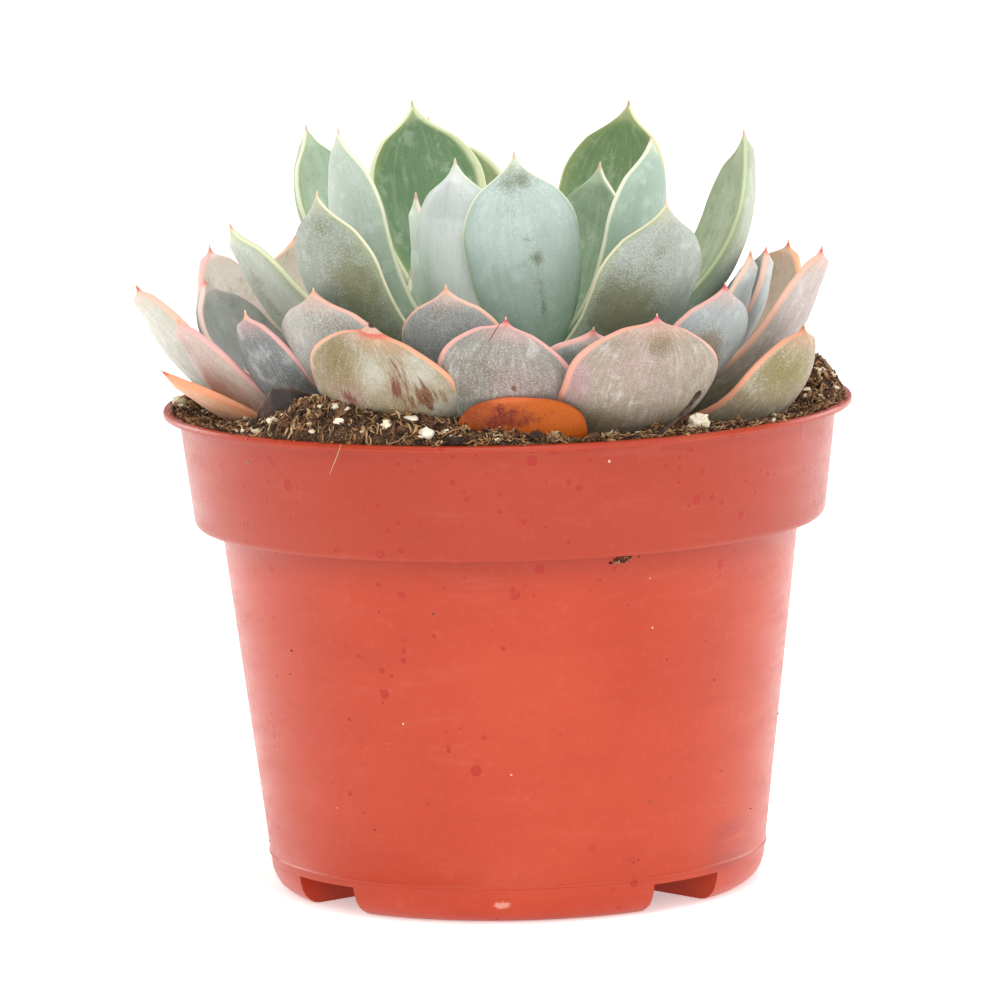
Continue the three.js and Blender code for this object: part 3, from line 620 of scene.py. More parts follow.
def pot_profile():
    """Radii and heights from under the floor, up the outside, over the lip and down to the floor."""
    foot = BODY_FOOT_RADIUS
    under_lip = RIM_TOP - LIP
    inner = BAND_TOP_RADIUS - WALL
    ledge = BAND_FOOT + WALL
    return [
        (RECESS_RADIUS, FLOOR), (RECESS_RADIUS, 0.4), (RECESS_RADIUS + 0.4, 0), (foot - 4.4, 0),
        (foot - 3.2, 0.2), (foot - 2.2, 0.8), (foot - 1.4, 1.5), (foot - 0.8, 2.5), (foot - 0.35, 3.8),
        (foot - 0.12, 5.2), (foot - 0.05, SEAM - 0.35), (foot + 0.12, SEAM - 0.28),
        (foot + 0.24, SEAM - 0.12), (foot + 0.24, SEAM + 0.12), (foot + 0.12, SEAM + 0.28),
        (body_radius(SEAM + 0.45), SEAM + 0.45), (body_radius(20), 20), (body_radius(35), 35),
        (body_radius(50), 50), (body_radius(BAND_FOOT - 0.5), BAND_FOOT - 0.5),
        (BODY_TOP_RADIUS + 0.1, BAND_FOOT - 0.15), (BODY_TOP_RADIUS + 0.4, BAND_FOOT),
        (BAND_FOOT_RADIUS - 1.0, BAND_FOOT), (BAND_FOOT_RADIUS - 0.45, BAND_FOOT + 0.12),
        (BAND_FOOT_RADIUS - 0.1, BAND_FOOT + 0.5), (band_radius(BAND_FOOT + 1.1), BAND_FOOT + 1.1),
        (band_radius(74), 74), (band_radius(under_lip - 0.9), under_lip - 0.9),
        (BAND_TOP_RADIUS + 0.1, under_lip - 0.35), (BAND_TOP_RADIUS + 0.5, under_lip),
        (RIM_RADIUS - 0.4, under_lip), (RIM_RADIUS - 0.1, under_lip + 0.12), (RIM_RADIUS, under_lip + 0.4),
        (RIM_RADIUS, RIM_TOP - 0.45), (RIM_RADIUS - 0.12, RIM_TOP - 0.14), (RIM_RADIUS - 0.45, RIM_TOP),
        (RIM_RADIUS - 1.1, RIM_TOP), (RIM_RADIUS - 1.4, RIM_TOP - 0.12), (inner + 0.6, RIM_TOP - 1.0),
        (inner + 0.1, RIM_TOP - 1.9), (BAND_FOOT_RADIUS - WALL, ledge),
        (BODY_TOP_RADIUS - WALL + 0.4, ledge), (BODY_TOP_RADIUS - WALL, ledge - 0.4),
        (body_radius(FLOOR + WALL + 1) - WALL, FLOOR + WALL + 1), (foot - WALL - 1, FLOOR + WALL),
    ]


def channel(direction):
    """The space between two feet, as a bar that runs out from the axis."""
    turn, height = math.radians(direction), FLOOR + 1
    reach = (RIM_RADIUS + CHANNEL_START) / 2 * MM
    place = (AXIS_X + reach * math.cos(turn), reach * math.sin(turn), (height / 2 - 1) * MM)
    bar = primitive("cube", "channel", size=1, location=place, rotation=(0, 0, turn))
    bar.scale = ((RIM_RADIUS - CHANNEL_START) * MM, NOTCH_WIDTH * MM, height * MM)
    bpy.ops.object.transform_apply(location=True, rotation=True, scale=True)
    return bar


def drain(direction):
    """The punch for a drain hole above a channel."""
    turn = math.radians(direction)
    place = (AXIS_X + DRAIN_PLACE * MM * math.cos(turn), DRAIN_PLACE * MM * math.sin(turn), FLOOR * MM)
    radius, depth = DRAIN_RADIUS * MM, 6 * MM
    punch = primitive("cylinder", "drain", vertices=40, radius=radius, depth=depth, location=place)
    bpy.ops.object.transform_apply(location=True, rotation=True, scale=True)
    return punch


def make_pot(sides):
    """The pot's thin shell, with the gaps between its feet and its drain holes cut away."""
    pot = turned("pot_shell", pot_profile(), sides)
    for direction in NOTCH_DIRECTIONS:
        for make_cutter in (channel, drain):
            cutter = make_cutter(direction)
            apply_modifier(pot, "BOOLEAN", operation="DIFFERENCE", solver="EXACT", object=cutter)
            bpy.data.objects.remove(cutter)
    settle(pot, plastic_finish(), "pot", "pot_plastic", 32)


# ---- leaves


def place(direction, distance, height):
    """A point in millimetres from its direction and distance from the axis and its height from the rim."""
    angle = math.radians(direction)
    return np.array([distance * math.cos(angle), distance * math.sin(angle), RIM_TOP + height])


def heading(direction, slope):
    """A unit vector that points outwards in a direction and climbs at a slope."""
    turn, climb = np.radians(direction), np.radians(slope)
    level = np.cos(climb)
    return np.stack([np.cos(turn) * level, np.sin(turn) * level, np.sin(climb) + 0 * turn], -1)


def stem_radius(height):
    """Radius of the stem at a height above the rim."""
    share = min(1, max(0, (height - STEM_SHOULDER) / (STEM_TOP - STEM_SHOULDER)))
    return STEM_RADIUS + (STEM_TIP_RADIUS - STEM_RADIUS) * share


def spine(row):
    """Points and unit directions along a leaf's middle line, as functions of its share, and its length."""
    _, direction, base, reach, rise, _, _, leave, arrive, swing, _, _ = row
    start = place(direction, stem_radius(base) + BASE_GAP, base)
    end = place(direction + swing, reach, rise)
    handle = HANDLE * np.linalg.norm(end - start)
    first = start + handle * heading(direction, leave)
    last = end - handle * heading(direction + swing, arrive)
    t = np.linspace(0, 1, 400)[:, None]
    line = (1 - t) ** 3 * start + 3 * t * (1 - t) ** 2 * first + 3 * t**2 * (1 - t) * last + t**3 * end
    slope = 3 * (1 - t) ** 2 * (first - start) + 6 * t * (1 - t) * (last - first) + 3 * t**2 * (end - last)
    slope /= np.linalg.norm(slope, axis=1)[:, None]
    run = np.concatenate([[0], np.cumsum(np.linalg.norm(np.diff(line, axis=0), axis=1))])
    return line, slope, run


def sample(run, values, share):
    """Values at shares of a line, from those at its points."""
    return np.stack([np.interp(share * run[-1], run, values[:, i]) for i in range(3)], -1)


def smooth(value, low, high):
    """A smooth rise from 0 to 1 as value goes from low to high."""
    share = np.clip((value - low) / (high - low), 0, 1)
    return share * share * (3 - 2 * share)


def half_width(share, widest, width, kind):
    """Half of a leaf's width at a share of its length, from its narrow base to its drawn-out tip."""
    fullness, pinch, first, last, nib = TIPS[kind]
    rise = np.sin(np.pi / 2 * np.clip(share / widest, 0, 1))
    past = np.clip((share - widest) / (1 - widest), 0, 1)
    lower = BASE_WIDTH + (1 - BASE_WIDTH) * rise
    upper = np.maximum(0, 1 - past**fullness) ** 1.2 * (1 - pinch * smooth(past, first, last))
    half = width / 2 * np.where(share < widest, lower, upper)
    return np.maximum(half, nib * np.clip((1 - share) * 40, 0, 1) ** 0.5)


def leaf_section(share, turns, widest, width, thickness, bead, kind):
    """Offsets across and above the middle line by station and turn: a cupped lens with rounded margins."""
    half = np.maximum(half_width(share, widest, width, kind) - bead, 0.03)[:, None]
    fullness = np.minimum(1, half / (0.3 * width)) * (1 - 0.4 * (share / widest)[:, None] ** 3)
    outer = thickness * np.maximum(0.35, fullness) * np.minimum(1, half / 2)
    inner = 0.12 * thickness * np.minimum(1, half / 2)
    cosine, sine = np.cos(turns)[None], np.sin(turns)[None]
    across = half * cosine
    above = CUP * half * cosine**2 + np.where(sine < 0, outer, inner) * sine
    run_a = np.roll(across, -1, 1) - np.roll(across, 1, 1)
    run_b = np.roll(above, -1, 1) - np.roll(above, 1, 1)
    size = np.hypot(run_a, run_b) + 1e-9
    taper = np.clip((1 - share) / 0.04, 0.12, 1)[:, None] ** 0.6
    return across + bead * taper * run_b / size, above - bead * taper * run_a / size


def rim_distance(across, above):
    """Distance along the skin from the nearer margin at each place of each section."""
    step = np.hypot(np.roll(across, -1, 1) - across, np.roll(above, -1, 1) - above)
    run = np.concatenate([np.zeros((len(step), 1)), np.cumsum(step, 1)], 1)
    count = step.shape[1]
    total, middle = run[:, -1:], run[:, count // 2 : count // 2 + 1]
    here = run[:, :count]
    return np.minimum(np.minimum(here, total - here), np.abs(here - middle))


def waves(share, turns, seed):
    """Gentle unevenness of a leaf's skin, from -1 to 1, the same each run."""
    random = np.random.default_rng(seed)
    total = np.zeros((len(share), len(turns)))
    for _ in range(7):
        along, around = random.uniform(1, 7), random.integers(1, 5)
        first, second = random.uniform(0, 2 * np.pi, 2)
        total += np.sin(2 * np.pi * along * share[:, None] + first) * np.sin(around * turns[None] + second)
    return total / 4


def leaf_stations(widest, rings):
    """Shares of a leaf's length at which its rings lie, closer together towards its tip."""
    lower = rings // 2
    upper = rings - lower
    up = 1 - (1 - np.linspace(0, 1, upper + 1)[1:]) ** 1.35
    return np.concatenate([[0], widest * np.linspace(0, 1, lower), widest + (1 - widest) * up])


def leaf_piece(row, bead, rings, around, finish, number):
    """One leaf: a ball whose rings are laid along the leaf's line and drawn to its cupped section."""
    name, direction, _, _, _, width, thickness, _, _, swing, roll, shoulder = row
    line, slope, run = spine(row)
    widest = 1 - shoulder / run[-1]
    share = leaf_stations(widest, rings)
    turns = np.arange(around) / around * 2 * np.pi
    kind = name if name in TIPS else name.split("_")[0]
    across, above = leaf_section(share, turns, widest, width, thickness, bead, kind)
    lump = waves(share, turns, SEED + number) * 0.012 * width
    across = across * (1 + 0.25 * lump / (width / 2) * np.sign(np.cos(turns))[None])
    above = above + lump * np.abs(np.sin(turns))[None] * np.clip(np.abs(across) / width + 0.4, 0, 1)
    across[0] = above[0] = across[-1] = above[-1] = 0
    spot, along = sample(run, line, share), sample(run, slope, share)
    sideways = heading(direction + swing * share + 90, 0.0)
    upper = np.cross(along, sideways)
    upper /= np.linalg.norm(upper, axis=1)[:, None]
    sideways = np.cross(upper, along)
    lean = math.radians(roll)
    tilted = sideways * math.cos(lean) + upper * math.sin(lean)
    upper = upper * math.cos(lean) - sideways * math.sin(lean)
    grid = spot[:, None] + across[..., None] * tilted[:, None] + above[..., None] * upper[:, None]
    climb = LEANS.get(name, 0) * share[:, None] * across
    grid = grid + climb[..., None] * along[:, None]
    piece = primitive("uv_sphere", name + "_flesh", segments=around, ring_count=rings, radius=1)
    ball = points_of(piece)
    ring = rings - np.rint(np.arccos(np.clip(ball[:, 2], -1, 1)) / np.pi * rings).astype(int)
    turn = np.rint(np.arctan2(ball[:, 1], ball[:, 0]) / (2 * np.pi) * around).astype(int) % around
    set_points(piece, (grid[ring, turn] + [AXIS_X / MM, 0, 0]) * MM)
    paint_leaf(piece, row, ring, turn, share * run[-1], across, above, turns, number)
    family = name.split("_")[0]
    settle(piece, finish, name, "young_leaf" if family == "heart" else family + "_leaf")


# Marks on a leaf's outer face, by kind: how far right of its middle line, seen from outside, and how far
# below its tip, half sizes the same way round, and strength.
MARKS = {
    "inner_leaf_6": {
        "rub": [
            (0, 4.4, 5.2, 3.2, 0.72), (1.0, 25, 1.0, 7, 0.5), (1.4, 18.4, 1.3, 1.5, 0.8),
            (-1.6, 19, 1.0, 0.8, 0.6), (0.2, 15, 1.6, 1.2, 0.45), (-2.5, 10, 2.4, 2.6, 0.3),
        ],
    },
    "inner_leaf_3": {"rub": [(1.5, 6, 2, 1.2, 0.3)]},
    "inner_leaf_4": {"rub": [(2, 12, 2, 5, 0.2)]},
    "inner_leaf_5": {"rub": [(-1, 6, 2.5, 3, 0.35), (2.5, 18, 2, 2, 0.4)]},
    "middle_leaf_5": {"rub": [(6, 17, 6, 10, 0.85), (1.5, 6, 3, 2.4, 0.5), (3, 28, 9, 7, 0.7)]},
    "middle_leaf_4": {"rub": [(-6, 20, 8, 10, 0.95), (-2, 8, 2.4, 3, 0.5), (0, 30, 9, 6, 0.5)]},
    "middle_leaf_6": {"rub": [(-4, 12, 3, 8, 0.4), (-5, 26, 4, 9, 0.45)]},
    "middle_leaf_7": {"rub": [(4, 14, 3, 8, 0.5)]},
    "second_leaf_1": {"rub": [(0, 4, 4, 2.6, 0.45)]},
    "second_leaf_3": {"rub": [(-3.4, 12, 3.6, 5, 1.1)], "scar": [(1.4, 10, 0.5, 0.5, 0.9)]},
    "second_leaf_6": {"rub": [(2, 7, 6, 4, 0.3)]},
    "outer_leaf_1": {
        "rub": [(-7, 8, 5, 7, 0.72), (-1, 15.5, 10, 3, 0.62)],
        "bare": [(0.4, 8, 2.4, 3.4, 0.95), (8.5, 7.5, 3.4, 4, 0.7), (10.5, 14.5, 3, 3, 0.8)],
        "scar": [(8.6, 12, 3.4, 3.6, 0.85), (7.2, 9, 1.0, 2.6, 0.6)],
        "streak": [(4.4, 10, 2.4, 6, 0.72), (7.5, 12, 4.5, 4.5, 0.62), (-5.2, 14, 3, 2.4, 0.56)],
        "blush": [(-5, 14, 4, 3, 0.4)],
    },
    "outer_leaf_2": {
        "rub": [
            (0, 4.8, 3.2, 2.8, 0.75), (-7, 20, 7, 4, 0.75), (5, 18, 9, 4, 0.5), (9, 11, 4, 5, 0.3),
            (-2, 20, 12, 3, 0.4),
        ],
        "blush": [(-4, 8, 6, 5, 0.3), (-13.5, 13, 2.2, 6, 0.95), (3, 12, 3, 5, 0.25)],
        "streak": [(-9, 12, 5, 6, 0.3), (8, 9, 6, 6, 0.25)],
    },
    "outer_leaf_3": {
        "rub": [(-4, 8, 9, 5, 0.8)],
        "blush": [(6, 12, 4, 6, 0.4)],
        "scar": [(3, 2.5, 2, 1, 0.6)],
        "streak": [(4, 13, 5, 6, 0.3)],
    },
    "outer_leaf_4": {"blush": [(0, 9, 5, 8, 0.3)], "streak": [(2, 10, 3, 8, 0.2)]},
    "outer_leaf_5": {"rub": [(0, 8, 7, 6, 0.6)]},
    "outer_leaf_7": {"blush": [(0, 10, 6, 8, 0.4)], "rub": [(2, 5, 3, 4, 0.4)]},
    "outer_leaf_8": {"scar": [(1, 8, 0.8, 0.8, 0.8), (-2, 12, 0.6, 1, 0.8)]},
    "outer_leaf_9": {
        "rub": [(-4, 10, 6, 4, 0.55), (4, 11, 5, 4, 0.5), (-7, 14, 3, 3, 0.6)],
        "scar": [(1.5, 11.5, 0.9, 0.7, 0.95)],
        "blush": [(2, 11, 6, 3, 0.4)],
    },
}
BLUSH = "b98f96"
STUB = "outer_leaf_1"  # its tip has broken off and healed over
SMOOTH = ("middle_leaf_1", "middle_leaf_3", "middle_leaf_8")  # their inner faces are turned to the front
RIM_WIDTHS = {
    "heart": 0.45, "inner": 0.42, "middle": 0.4, "second": 0.72, "outer": 1.0, "withered": 0.8,
    "middle_leaf_1": 0.8, "middle_leaf_3": 1.1, "middle_leaf_6": 0.3, "middle_leaf_8": 2.2,
    "second_leaf_3": 0.55, "second_leaf_4": 0.45, "second_leaf_5": 0.45, "second_leaf_7": 0.55,
    "outer_leaf_3": 0.6, "outer_leaf_4": 0.6, "outer_leaf_5": 0.6, "outer_leaf_6": 0.8, "outer_leaf_7": 0.6,
    "outer_leaf_8": 0.5,
}
BROAD, BROAD_MARGIN = "middle_leaf_3", 2.4  # its left margin, seen from outside, is that much broader
FAIR = ("inner_leaf_1", "inner_leaf_3", "middle_leaf_7", "second_leaf_8")  # pale right down to their base
FRINGES = {
    "heart": "93b07e", "inner": "9db894", "middle": "94a468", "second": "c2a69c", "outer": "c6a894",
    "withered": "dd8450",
}


def paint_leaf(piece, row, ring, turn, run, across, above, turns, number):
    """Stores on a leaf what its finish reads: distances from its margins and tip, colours and marks."""
    name = row[0]
    family = name.split("_")[0]
    codes, specks = LOOKS.get(name, LOOKS[family])
    tip = (run[-1] - run)[:, None] + 0 * across
    face = np.sin(turns)[None] + 0 * across
    left = BROAD_MARGIN if name == BROAD else 1.0
    values = {
        "rim_mm": rim_distance(across, above),
        "tip_mm": tip,
        "face": face,
        "rim_width": RIM_WIDTHS.get(name, RIM_WIDTHS[family]) * np.where(across < 0, left, 1.0),
        "deep": 0.0 if name in FAIR else 0.3,
        "fringe_mm": 3.2 if name in SMOOTH else 1.6 if family in ("second", "outer") else 2.2,
        "specks": specks,
        "lined": {"outer": 0.9, "second": 0.35}.get(family, 0.12),
        "stub": float(name == STUB),
    }
    outside = np.clip(-face * 2.5, 0, 1)
    for kind in ("rub", "scar", "blush", "bare", "streak"):
        values[kind] = 0.0
        for side, down, wide, tall, strength in MARKS.get(name, {}).get(kind, ()):
            away = ((across - side) / wide) ** 2 + ((tip - down) / tall) ** 2
            values[kind] = np.maximum(values[kind], strength * np.exp(-away) * outside)
    for key, value in values.items():
        add_attribute(piece, key, (value + 0 * across)[ring, turn])
    reach = np.maximum(np.abs(across).max(1)[:, None], 1)
    flow = np.stack([across / reach * 8 * MM + number, tip * 0.1 * MM, face * 0.004], -1)
    add_attribute(piece, "flow", flow[ring, turn], "FLOAT_VECTOR")
    tints = ("outer_tint", "inner_tint", "rim_tint", "tip_tint", "rub_tint", "blush_tint", "fringe_tint")
    for key, code in zip(tints, (*codes.split(), BLUSH, FRINGES[family])):
        add_attribute(piece, key, np.tile(tint(code), (len(ring), 1)), "FLOAT_COLOR")


# ---- soil and litter


def ground(x, y):
    """Smooth height of the soil, in millimetres, at places from the axis."""
    height = RIM_TOP - SOIL_DEPTH + 0 * x
    for mound_x, mound_y, width, rise in MOUNDS:
        height = height + rise * np.exp(-((x - mound_x) ** 2 + (y - mound_y) ** 2) / (2 * width * width))
    return height


def soil_height(x, y):
    """Height of the crumbly surface of the soil at places from the axis. It meets the lip at its edge."""
    rough = np.empty(len(x))
    for i, (east, north) in enumerate(zip(x, y)):
        spot = Vector((east, north, 0))
        rough[i] = sum(noise.noise(spot / size) * height for size, height in CRUMB_SIZES)
    shore = np.clip((SOIL_RADIUS - np.hypot(x, y)) / 5, 0, 1)
    rise = ground(x, y) - SOIL_TOP
    level = SOIL_TOP + rise * np.where(rise > 0, shore**0.5, shore)
    return level + rough * (0.2 + 0.8 * shore)


def leaf_tree(leaves):
    """All leaves as one search tree, in metres."""
    spots, faces = [], []
    for leaf in leaves:
        start = len(spots)
        spots += [v.co.copy() for v in leaf.data.vertices]
        faces += [[start + i for i in p.vertices] for p in leaf.data.polygons]
    return BVHTree.FromPolygons(spots, faces)


def soil_piece(cells, finish):
    """The filling: a fine grid drawn to a disc, raised to its mounds and crumbs, and walled to the floor."""
    piece = primitive("grid", "soil_bed", x_subdivisions=cells, y_subdivisions=cells, size=2)
    u, v = points_of(piece).T[:2]
    edge = SOIL_RADIUS
    x, y = u * np.sqrt(1 - v * v / 2) * edge, v * np.sqrt(1 - u * u / 2) * edge
    set_points(piece, np.stack([x * MM + AXIS_X, y * MM, soil_height(x, y) * MM], -1))
    bpy.ops.object.mode_set(mode="EDIT")
    bpy.ops.mesh.select_all(action="SELECT")
    bpy.ops.mesh.region_to_loop()
    throat, ledge, floor = RIM_TOP - 2.4, BAND_FOOT + WALL + 0.4, FLOOR + WALL + 0.4
    radii = (BAND_TOP_RADIUS + 0.3, BAND_TOP_RADIUS, BAND_FOOT_RADIUS, BODY_TOP_RADIUS, BODY_FOOT_RADIUS)
    for depth, radius in zip((throat + 1, throat, ledge, ledge, floor), radii):
        bpy.ops.mesh.extrude_region_move()
        centre = (AXIS_X, 0, depth * MM)
        bpy.ops.transform.resize(value=(1, 1, 0), center_override=centre)
        ratio = (radius - WALL - SOIL_GAP) / edge
        edge = radius - WALL - SOIL_GAP
        bpy.ops.transform.resize(value=(ratio, ratio, 1), center_override=centre)
    bpy.ops.mesh.edge_face_add()
    close_up()
    settle(piece, finish, "soil", "potting_soil")


INNERMOST = 0.2  # share of the soil's area about the stem that stays clear
BELOW = 2  # how far under the soil the look for a leaf begins


class Ground:
    """Scatters small things over the soil where no leaf is in the way."""

    STEP = 0.5  # between the points of its map

    def __init__(self, tree, seed):
        self.leaves = tree
        self.random = np.random.default_rng(seed)
        self.reach = RIM_RADIUS
        line = np.arange(-self.reach, self.reach + self.STEP, self.STEP)
        x, y = np.meshgrid(line, line, indexing="ij")
        self.map = soil_height(x.ravel(), y.ravel()).reshape(x.shape)

    def height(self, x, y):
        """Height of the soil at places from the axis, between the points of its map."""
        last = len(self.map) - 2
        u = np.clip((np.asarray(x) + self.reach) / self.STEP, 0, last)
        v = np.clip((np.asarray(y) + self.reach) / self.STEP, 0, last)
        i, j = u.astype(int), v.astype(int)
        u, v = u - i, v - j
        low = self.map[i, j] * (1 - u) + self.map[i + 1, j] * u
        high = self.map[i, j + 1] * (1 - u) + self.map[i + 1, j + 1] * u
        return low * (1 - v) + high * v

    def spots(self, count, clear):
        """Places outside the stem with at least that clearance to any leaf above them."""
        found = []
        edge = SOIL_RADIUS - 0.4
        while len(found) < count:
            reach = edge * math.sqrt(self.random.uniform(INNERMOST, 1.0))
            turn = self.random.uniform(0, 2 * math.pi)
            x, y = reach * math.cos(turn), reach * math.sin(turn)
            z = float(self.height(x, y))
            start = Vector((x * MM + AXIS_X, y * MM, (z - BELOW) * MM))
            if self.leaves.ray_cast(start, Vector((0, 0, 1)), (clear + BELOW) * MM)[0] is None:
                found.append((x, y, z))
        return np.array(found)

    def draped(self, starts, lengths, points, curl, lift):
        """Curled paths that follow the soil from their starts, some with an end in the air."""
        count = len(starts)
        turn = self.random.uniform(0, 2 * np.pi, count)
        bend = self.random.normal(0, curl, count)
        rise = self.random.uniform(-0.1, 1, count) * lift
        arch = self.random.uniform(-0.2, 0.5, count) * lift
        x, y = starts[:, 0].copy(), starts[:, 1].copy()
        paths = np.empty((count, points, 3))
        for k in range(points):
            share = k / (points - 1)
            air = 0.15 + rise * share**2 + arch * math.sin(math.pi * share)
            paths[:, k] = np.stack([x, y, self.height(x, y) + air], -1)
            x, y = x + np.cos(turn) * lengths / (points - 1), y + np.sin(turn) * lengths / (points - 1)
            inside = np.minimum(1, (SOIL_RADIUS + 0.3) / np.hypot(x, y))
            x, y = x * inside, y * inside
            turn = turn + bend / (points - 1) + self.random.normal(0, 0.35, count)
        return paths


def mesh_piece(name, spots, faces, shades):
    """A piece from points in millimetres from the axis and their faces, with a shade for each point."""
    mesh = bpy.data.meshes.new(name)
    mesh.from_pydata((np.asarray(spots) + [AXIS_X / MM, 0, 0]) * MM, [], faces)
    mesh.update()
    piece = bpy.data.objects.new(name, mesh)
    bpy.context.scene.collection.objects.link(piece)
    add_attribute(piece, "shade", shades)
    return piece


def strands(name, paths, widths, shades, flat=0.5):
    """Many threads in one mesh, three-sided and pointed at both ends, along paths of as many points each."""
    count, points, _ = paths.shape
    way = np.gradient(paths, axis=1)
    way /= np.linalg.norm(way, axis=2)[..., None] + 1e-9
    side = np.cross(way, [0.02, 0.01, 1.0])
    side /= np.linalg.norm(side, axis=2)[..., None] + 1e-9
    up = np.cross(side, way)
    share = (np.arange(points) + 0.35) / (points - 0.3)
    girth = np.asarray(widths)[:, None, None] * (0.35 + 0.65 * np.sin(np.pi * share))[None, :, None]
    corners = []
    for corner in range(3):
        angle = corner * 2 * np.pi / 3
        corners.append(paths + girth * (math.cos(angle) * side + flat * math.sin(angle) * up))
    spots = np.stack(corners, 2).reshape(-1, 3)
    faces = []
    for first in range(0, count * points * 3, points * 3):
        for a in range(first, first + 3 * (points - 1), 3):
            faces += [(a, a + 1, a + 4, a + 3), (a + 1, a + 2, a + 5, a + 4), (a + 2, a, a + 3, a + 5)]
        last = first + 3 * (points - 1)
        faces += [(first + 2, first + 1, first), (last, last + 1, last + 2)]
    return mesh_piece(name, spots, faces, np.repeat(shades, points * 3))


CRUMB_HEIGHT, CRUMB_RISE = 0.75, 0.3  # for its width, and its middle's height above the soil for its size


def ball_shape(level):
    """Points and faces of a ball of triangles."""
    ball = primitive("ico_sphere", "ball", subdivisions=level, radius=1)
    spots, faces = points_of(ball), [tuple(p.vertices) for p in ball.data.polygons]
    bpy.data.objects.remove(ball)
    return spots, faces


def crumbs(name, starts, sizes, shades, random, level=1, rough=0.35):
    """Many small lumps in one mesh, each a dented ball of its own shape and turn."""
    ball, triangles = ball_shape(level)
    spots, faces, tones = [], [], []
    for (x, y, z), size, shade in zip(starts, sizes, shades):
        shape = ball * (1 + rough * random.uniform(-1, 1, len(ball)))[:, None]
        shape = shape * random.uniform(0.6, 1.2, 3) * [1, 1, CRUMB_HEIGHT]
        turn = random.uniform(0, 2 * np.pi)
        lean = random.uniform(-0.5, 0.5)
        c, s, d, e = math.cos(turn), math.sin(turn), math.cos(lean), math.sin(lean)
        tip_over, spin = [[1, 0, 0], [0, d, -e], [0, e, d]], [[c, -s, 0], [s, c, 0], [0, 0, 1]]
        shape = shape @ np.array(tip_over) @ np.array(spin)
        first = len(spots)
        spots.extend(shape * size + [x, y, z + size * CRUMB_RISE])
        faces.extend(tuple(first + i for i in t) for t in triangles)
        tones.extend([shade] * len(ball))
    return mesh_piece(name, spots, faces, tones)


PEAT_STOPS = ((0.0, "1c120c"), (0.25, "452c1c"), (0.45, "744e30"), (0.7, "b08356"), (1.0, "dcc094"))
DEAD_STOPS = ((0.0, "150e0c"), (0.2, "2a1e1b"), (0.5, "4a2d20"), (1.0, "86624a"))
PERLITE_STOPS = ((0.0, "b5a27c"), (0.4, "e2d3b0"), (1.0, "f8f1e2"))

# Name, count, length, width, points along, curl, lift and the spread of shades.
FIBRES = (
    ("soil_fibres", 7600, 2.0, 0.23, 5, 3.2, 1.2, (1.2, 1.5)),
    ("soil_bits", 7000, 1.3, 0.29, 5, 2.6, 0.9, (1.35, 1.2)),
    ("soil_threads", 700, 4.0, 0.16, 9, 3.0, 1.4, (1.6, 1.3)),
    ("soil_curls", 520, 3.0, 0.26, 8, 5.0, 1.1, (2.2, 1.3)),
)
# Name, count, size, fineness, roughness, the spread of shades and the greatest size.
LUMPS = (
    ("soil_crumbs", 2600, 0.42, 1, 0.4, (1.2, 2.4), 0.8),
    ("soil_chunks", 260, 0.8, 2, 0.5, (1.5, 2.6), 1.2),
    ("soil_perlite", 640, 0.55, 2, 0.34, (1.6, 1.6), 1.25),
)
FIBRE_CLEARANCE, LUMP_CLEARANCE = 0.3, 0.5  # below the leaves
SIZE_SPREAD = 0.4
SPILLED = 90  # crumbs on the lip
CLUMP, CLUMP_DIRECTION, CLUMP_HEIGHT = 26, -68, 63.0  # crumbs stuck under the collar
STRAY_GRAINS = 70


def scatter_soil(bed):
    """Fibres, threads, crumbs and perlite over the soil, and what has spilled or stuck to the pot."""
    random = bed.random
    peat = shaded_finish("peat_fibre", PEAT_STOPS, 0.9)
    grain_skin = shaded_finish("perlite_grain_surface", PERLITE_STOPS, 0.85)
    for name, count, length, width, points, curl, lift, tone in FIBRES:
        starts = bed.spots(count, FIBRE_CLEARANCE)
        lengths = random.lognormal(math.log(length), SIZE_SPREAD, count).clip(length / 2, length * 2.5)
        widths = random.lognormal(math.log(width), 0.35, count).clip(width / 2, width * 2)
        paths = bed.draped(starts, lengths, points, curl, lift)
        settle(strands(name, paths, widths, random.beta(*tone, count)), peat, None, "potting_soil")
    for name, count, size, level, rough, tone, most in LUMPS:
        starts = bed.spots(count, LUMP_CLEARANCE)
        sizes = random.lognormal(math.log(size), SIZE_SPREAD, count).clip(0.25, most)
        piece = crumbs(name, starts, sizes, random.beta(*tone, count), random, level, rough)
        finish, slot = (grain_skin, "perlite") if name == "soil_perlite" else (peat, "potting_soil")
        settle(piece, finish, None, slot, 50)
    turn = random.uniform(-math.pi, 0, SPILLED)
    reach = random.uniform(RIM_RADIUS - 1.6, RIM_RADIUS - 0.4, SPILLED)
    starts = np.stack([reach * np.cos(turn), reach * np.sin(turn), RIM_TOP + 0 * turn], -1)
    sizes = random.lognormal(math.log(0.24), SIZE_SPREAD, SPILLED).clip(0.12, 0.6)
    spilled = crumbs("spilled_soil", starts, sizes, random.beta(1.3, 2, SPILLED), random)
    for piece in (spilled, crumbs("stuck_soil", *stuck_crumbs(random), random)):
        settle(piece, peat, None, "potting_soil", 50)


def stuck_crumbs(random):
    """Places, sizes and shades of the crumbs that stick to the outside of the pot: a clump and grains."""
    starts, sizes = [], []
    for _ in range(CLUMP):
        turn = math.radians(random.normal(CLUMP_DIRECTION, 1.4))
        starts.append(body_spot(turn, CLUMP_HEIGHT + random.normal(0, 0.45)))
        sizes.append(random.uniform(0.2, 0.5))
    for _ in range(STRAY_GRAINS):
        turn, height = random.uniform(-math.pi, math.pi), 8 + 54 * random.uniform() ** 1.3
        starts.append(body_spot(turn, height))
        sizes.append(random.uniform(0.1, 0.26))
    return starts, sizes, random.beta(1.2, 2.6, len(starts))


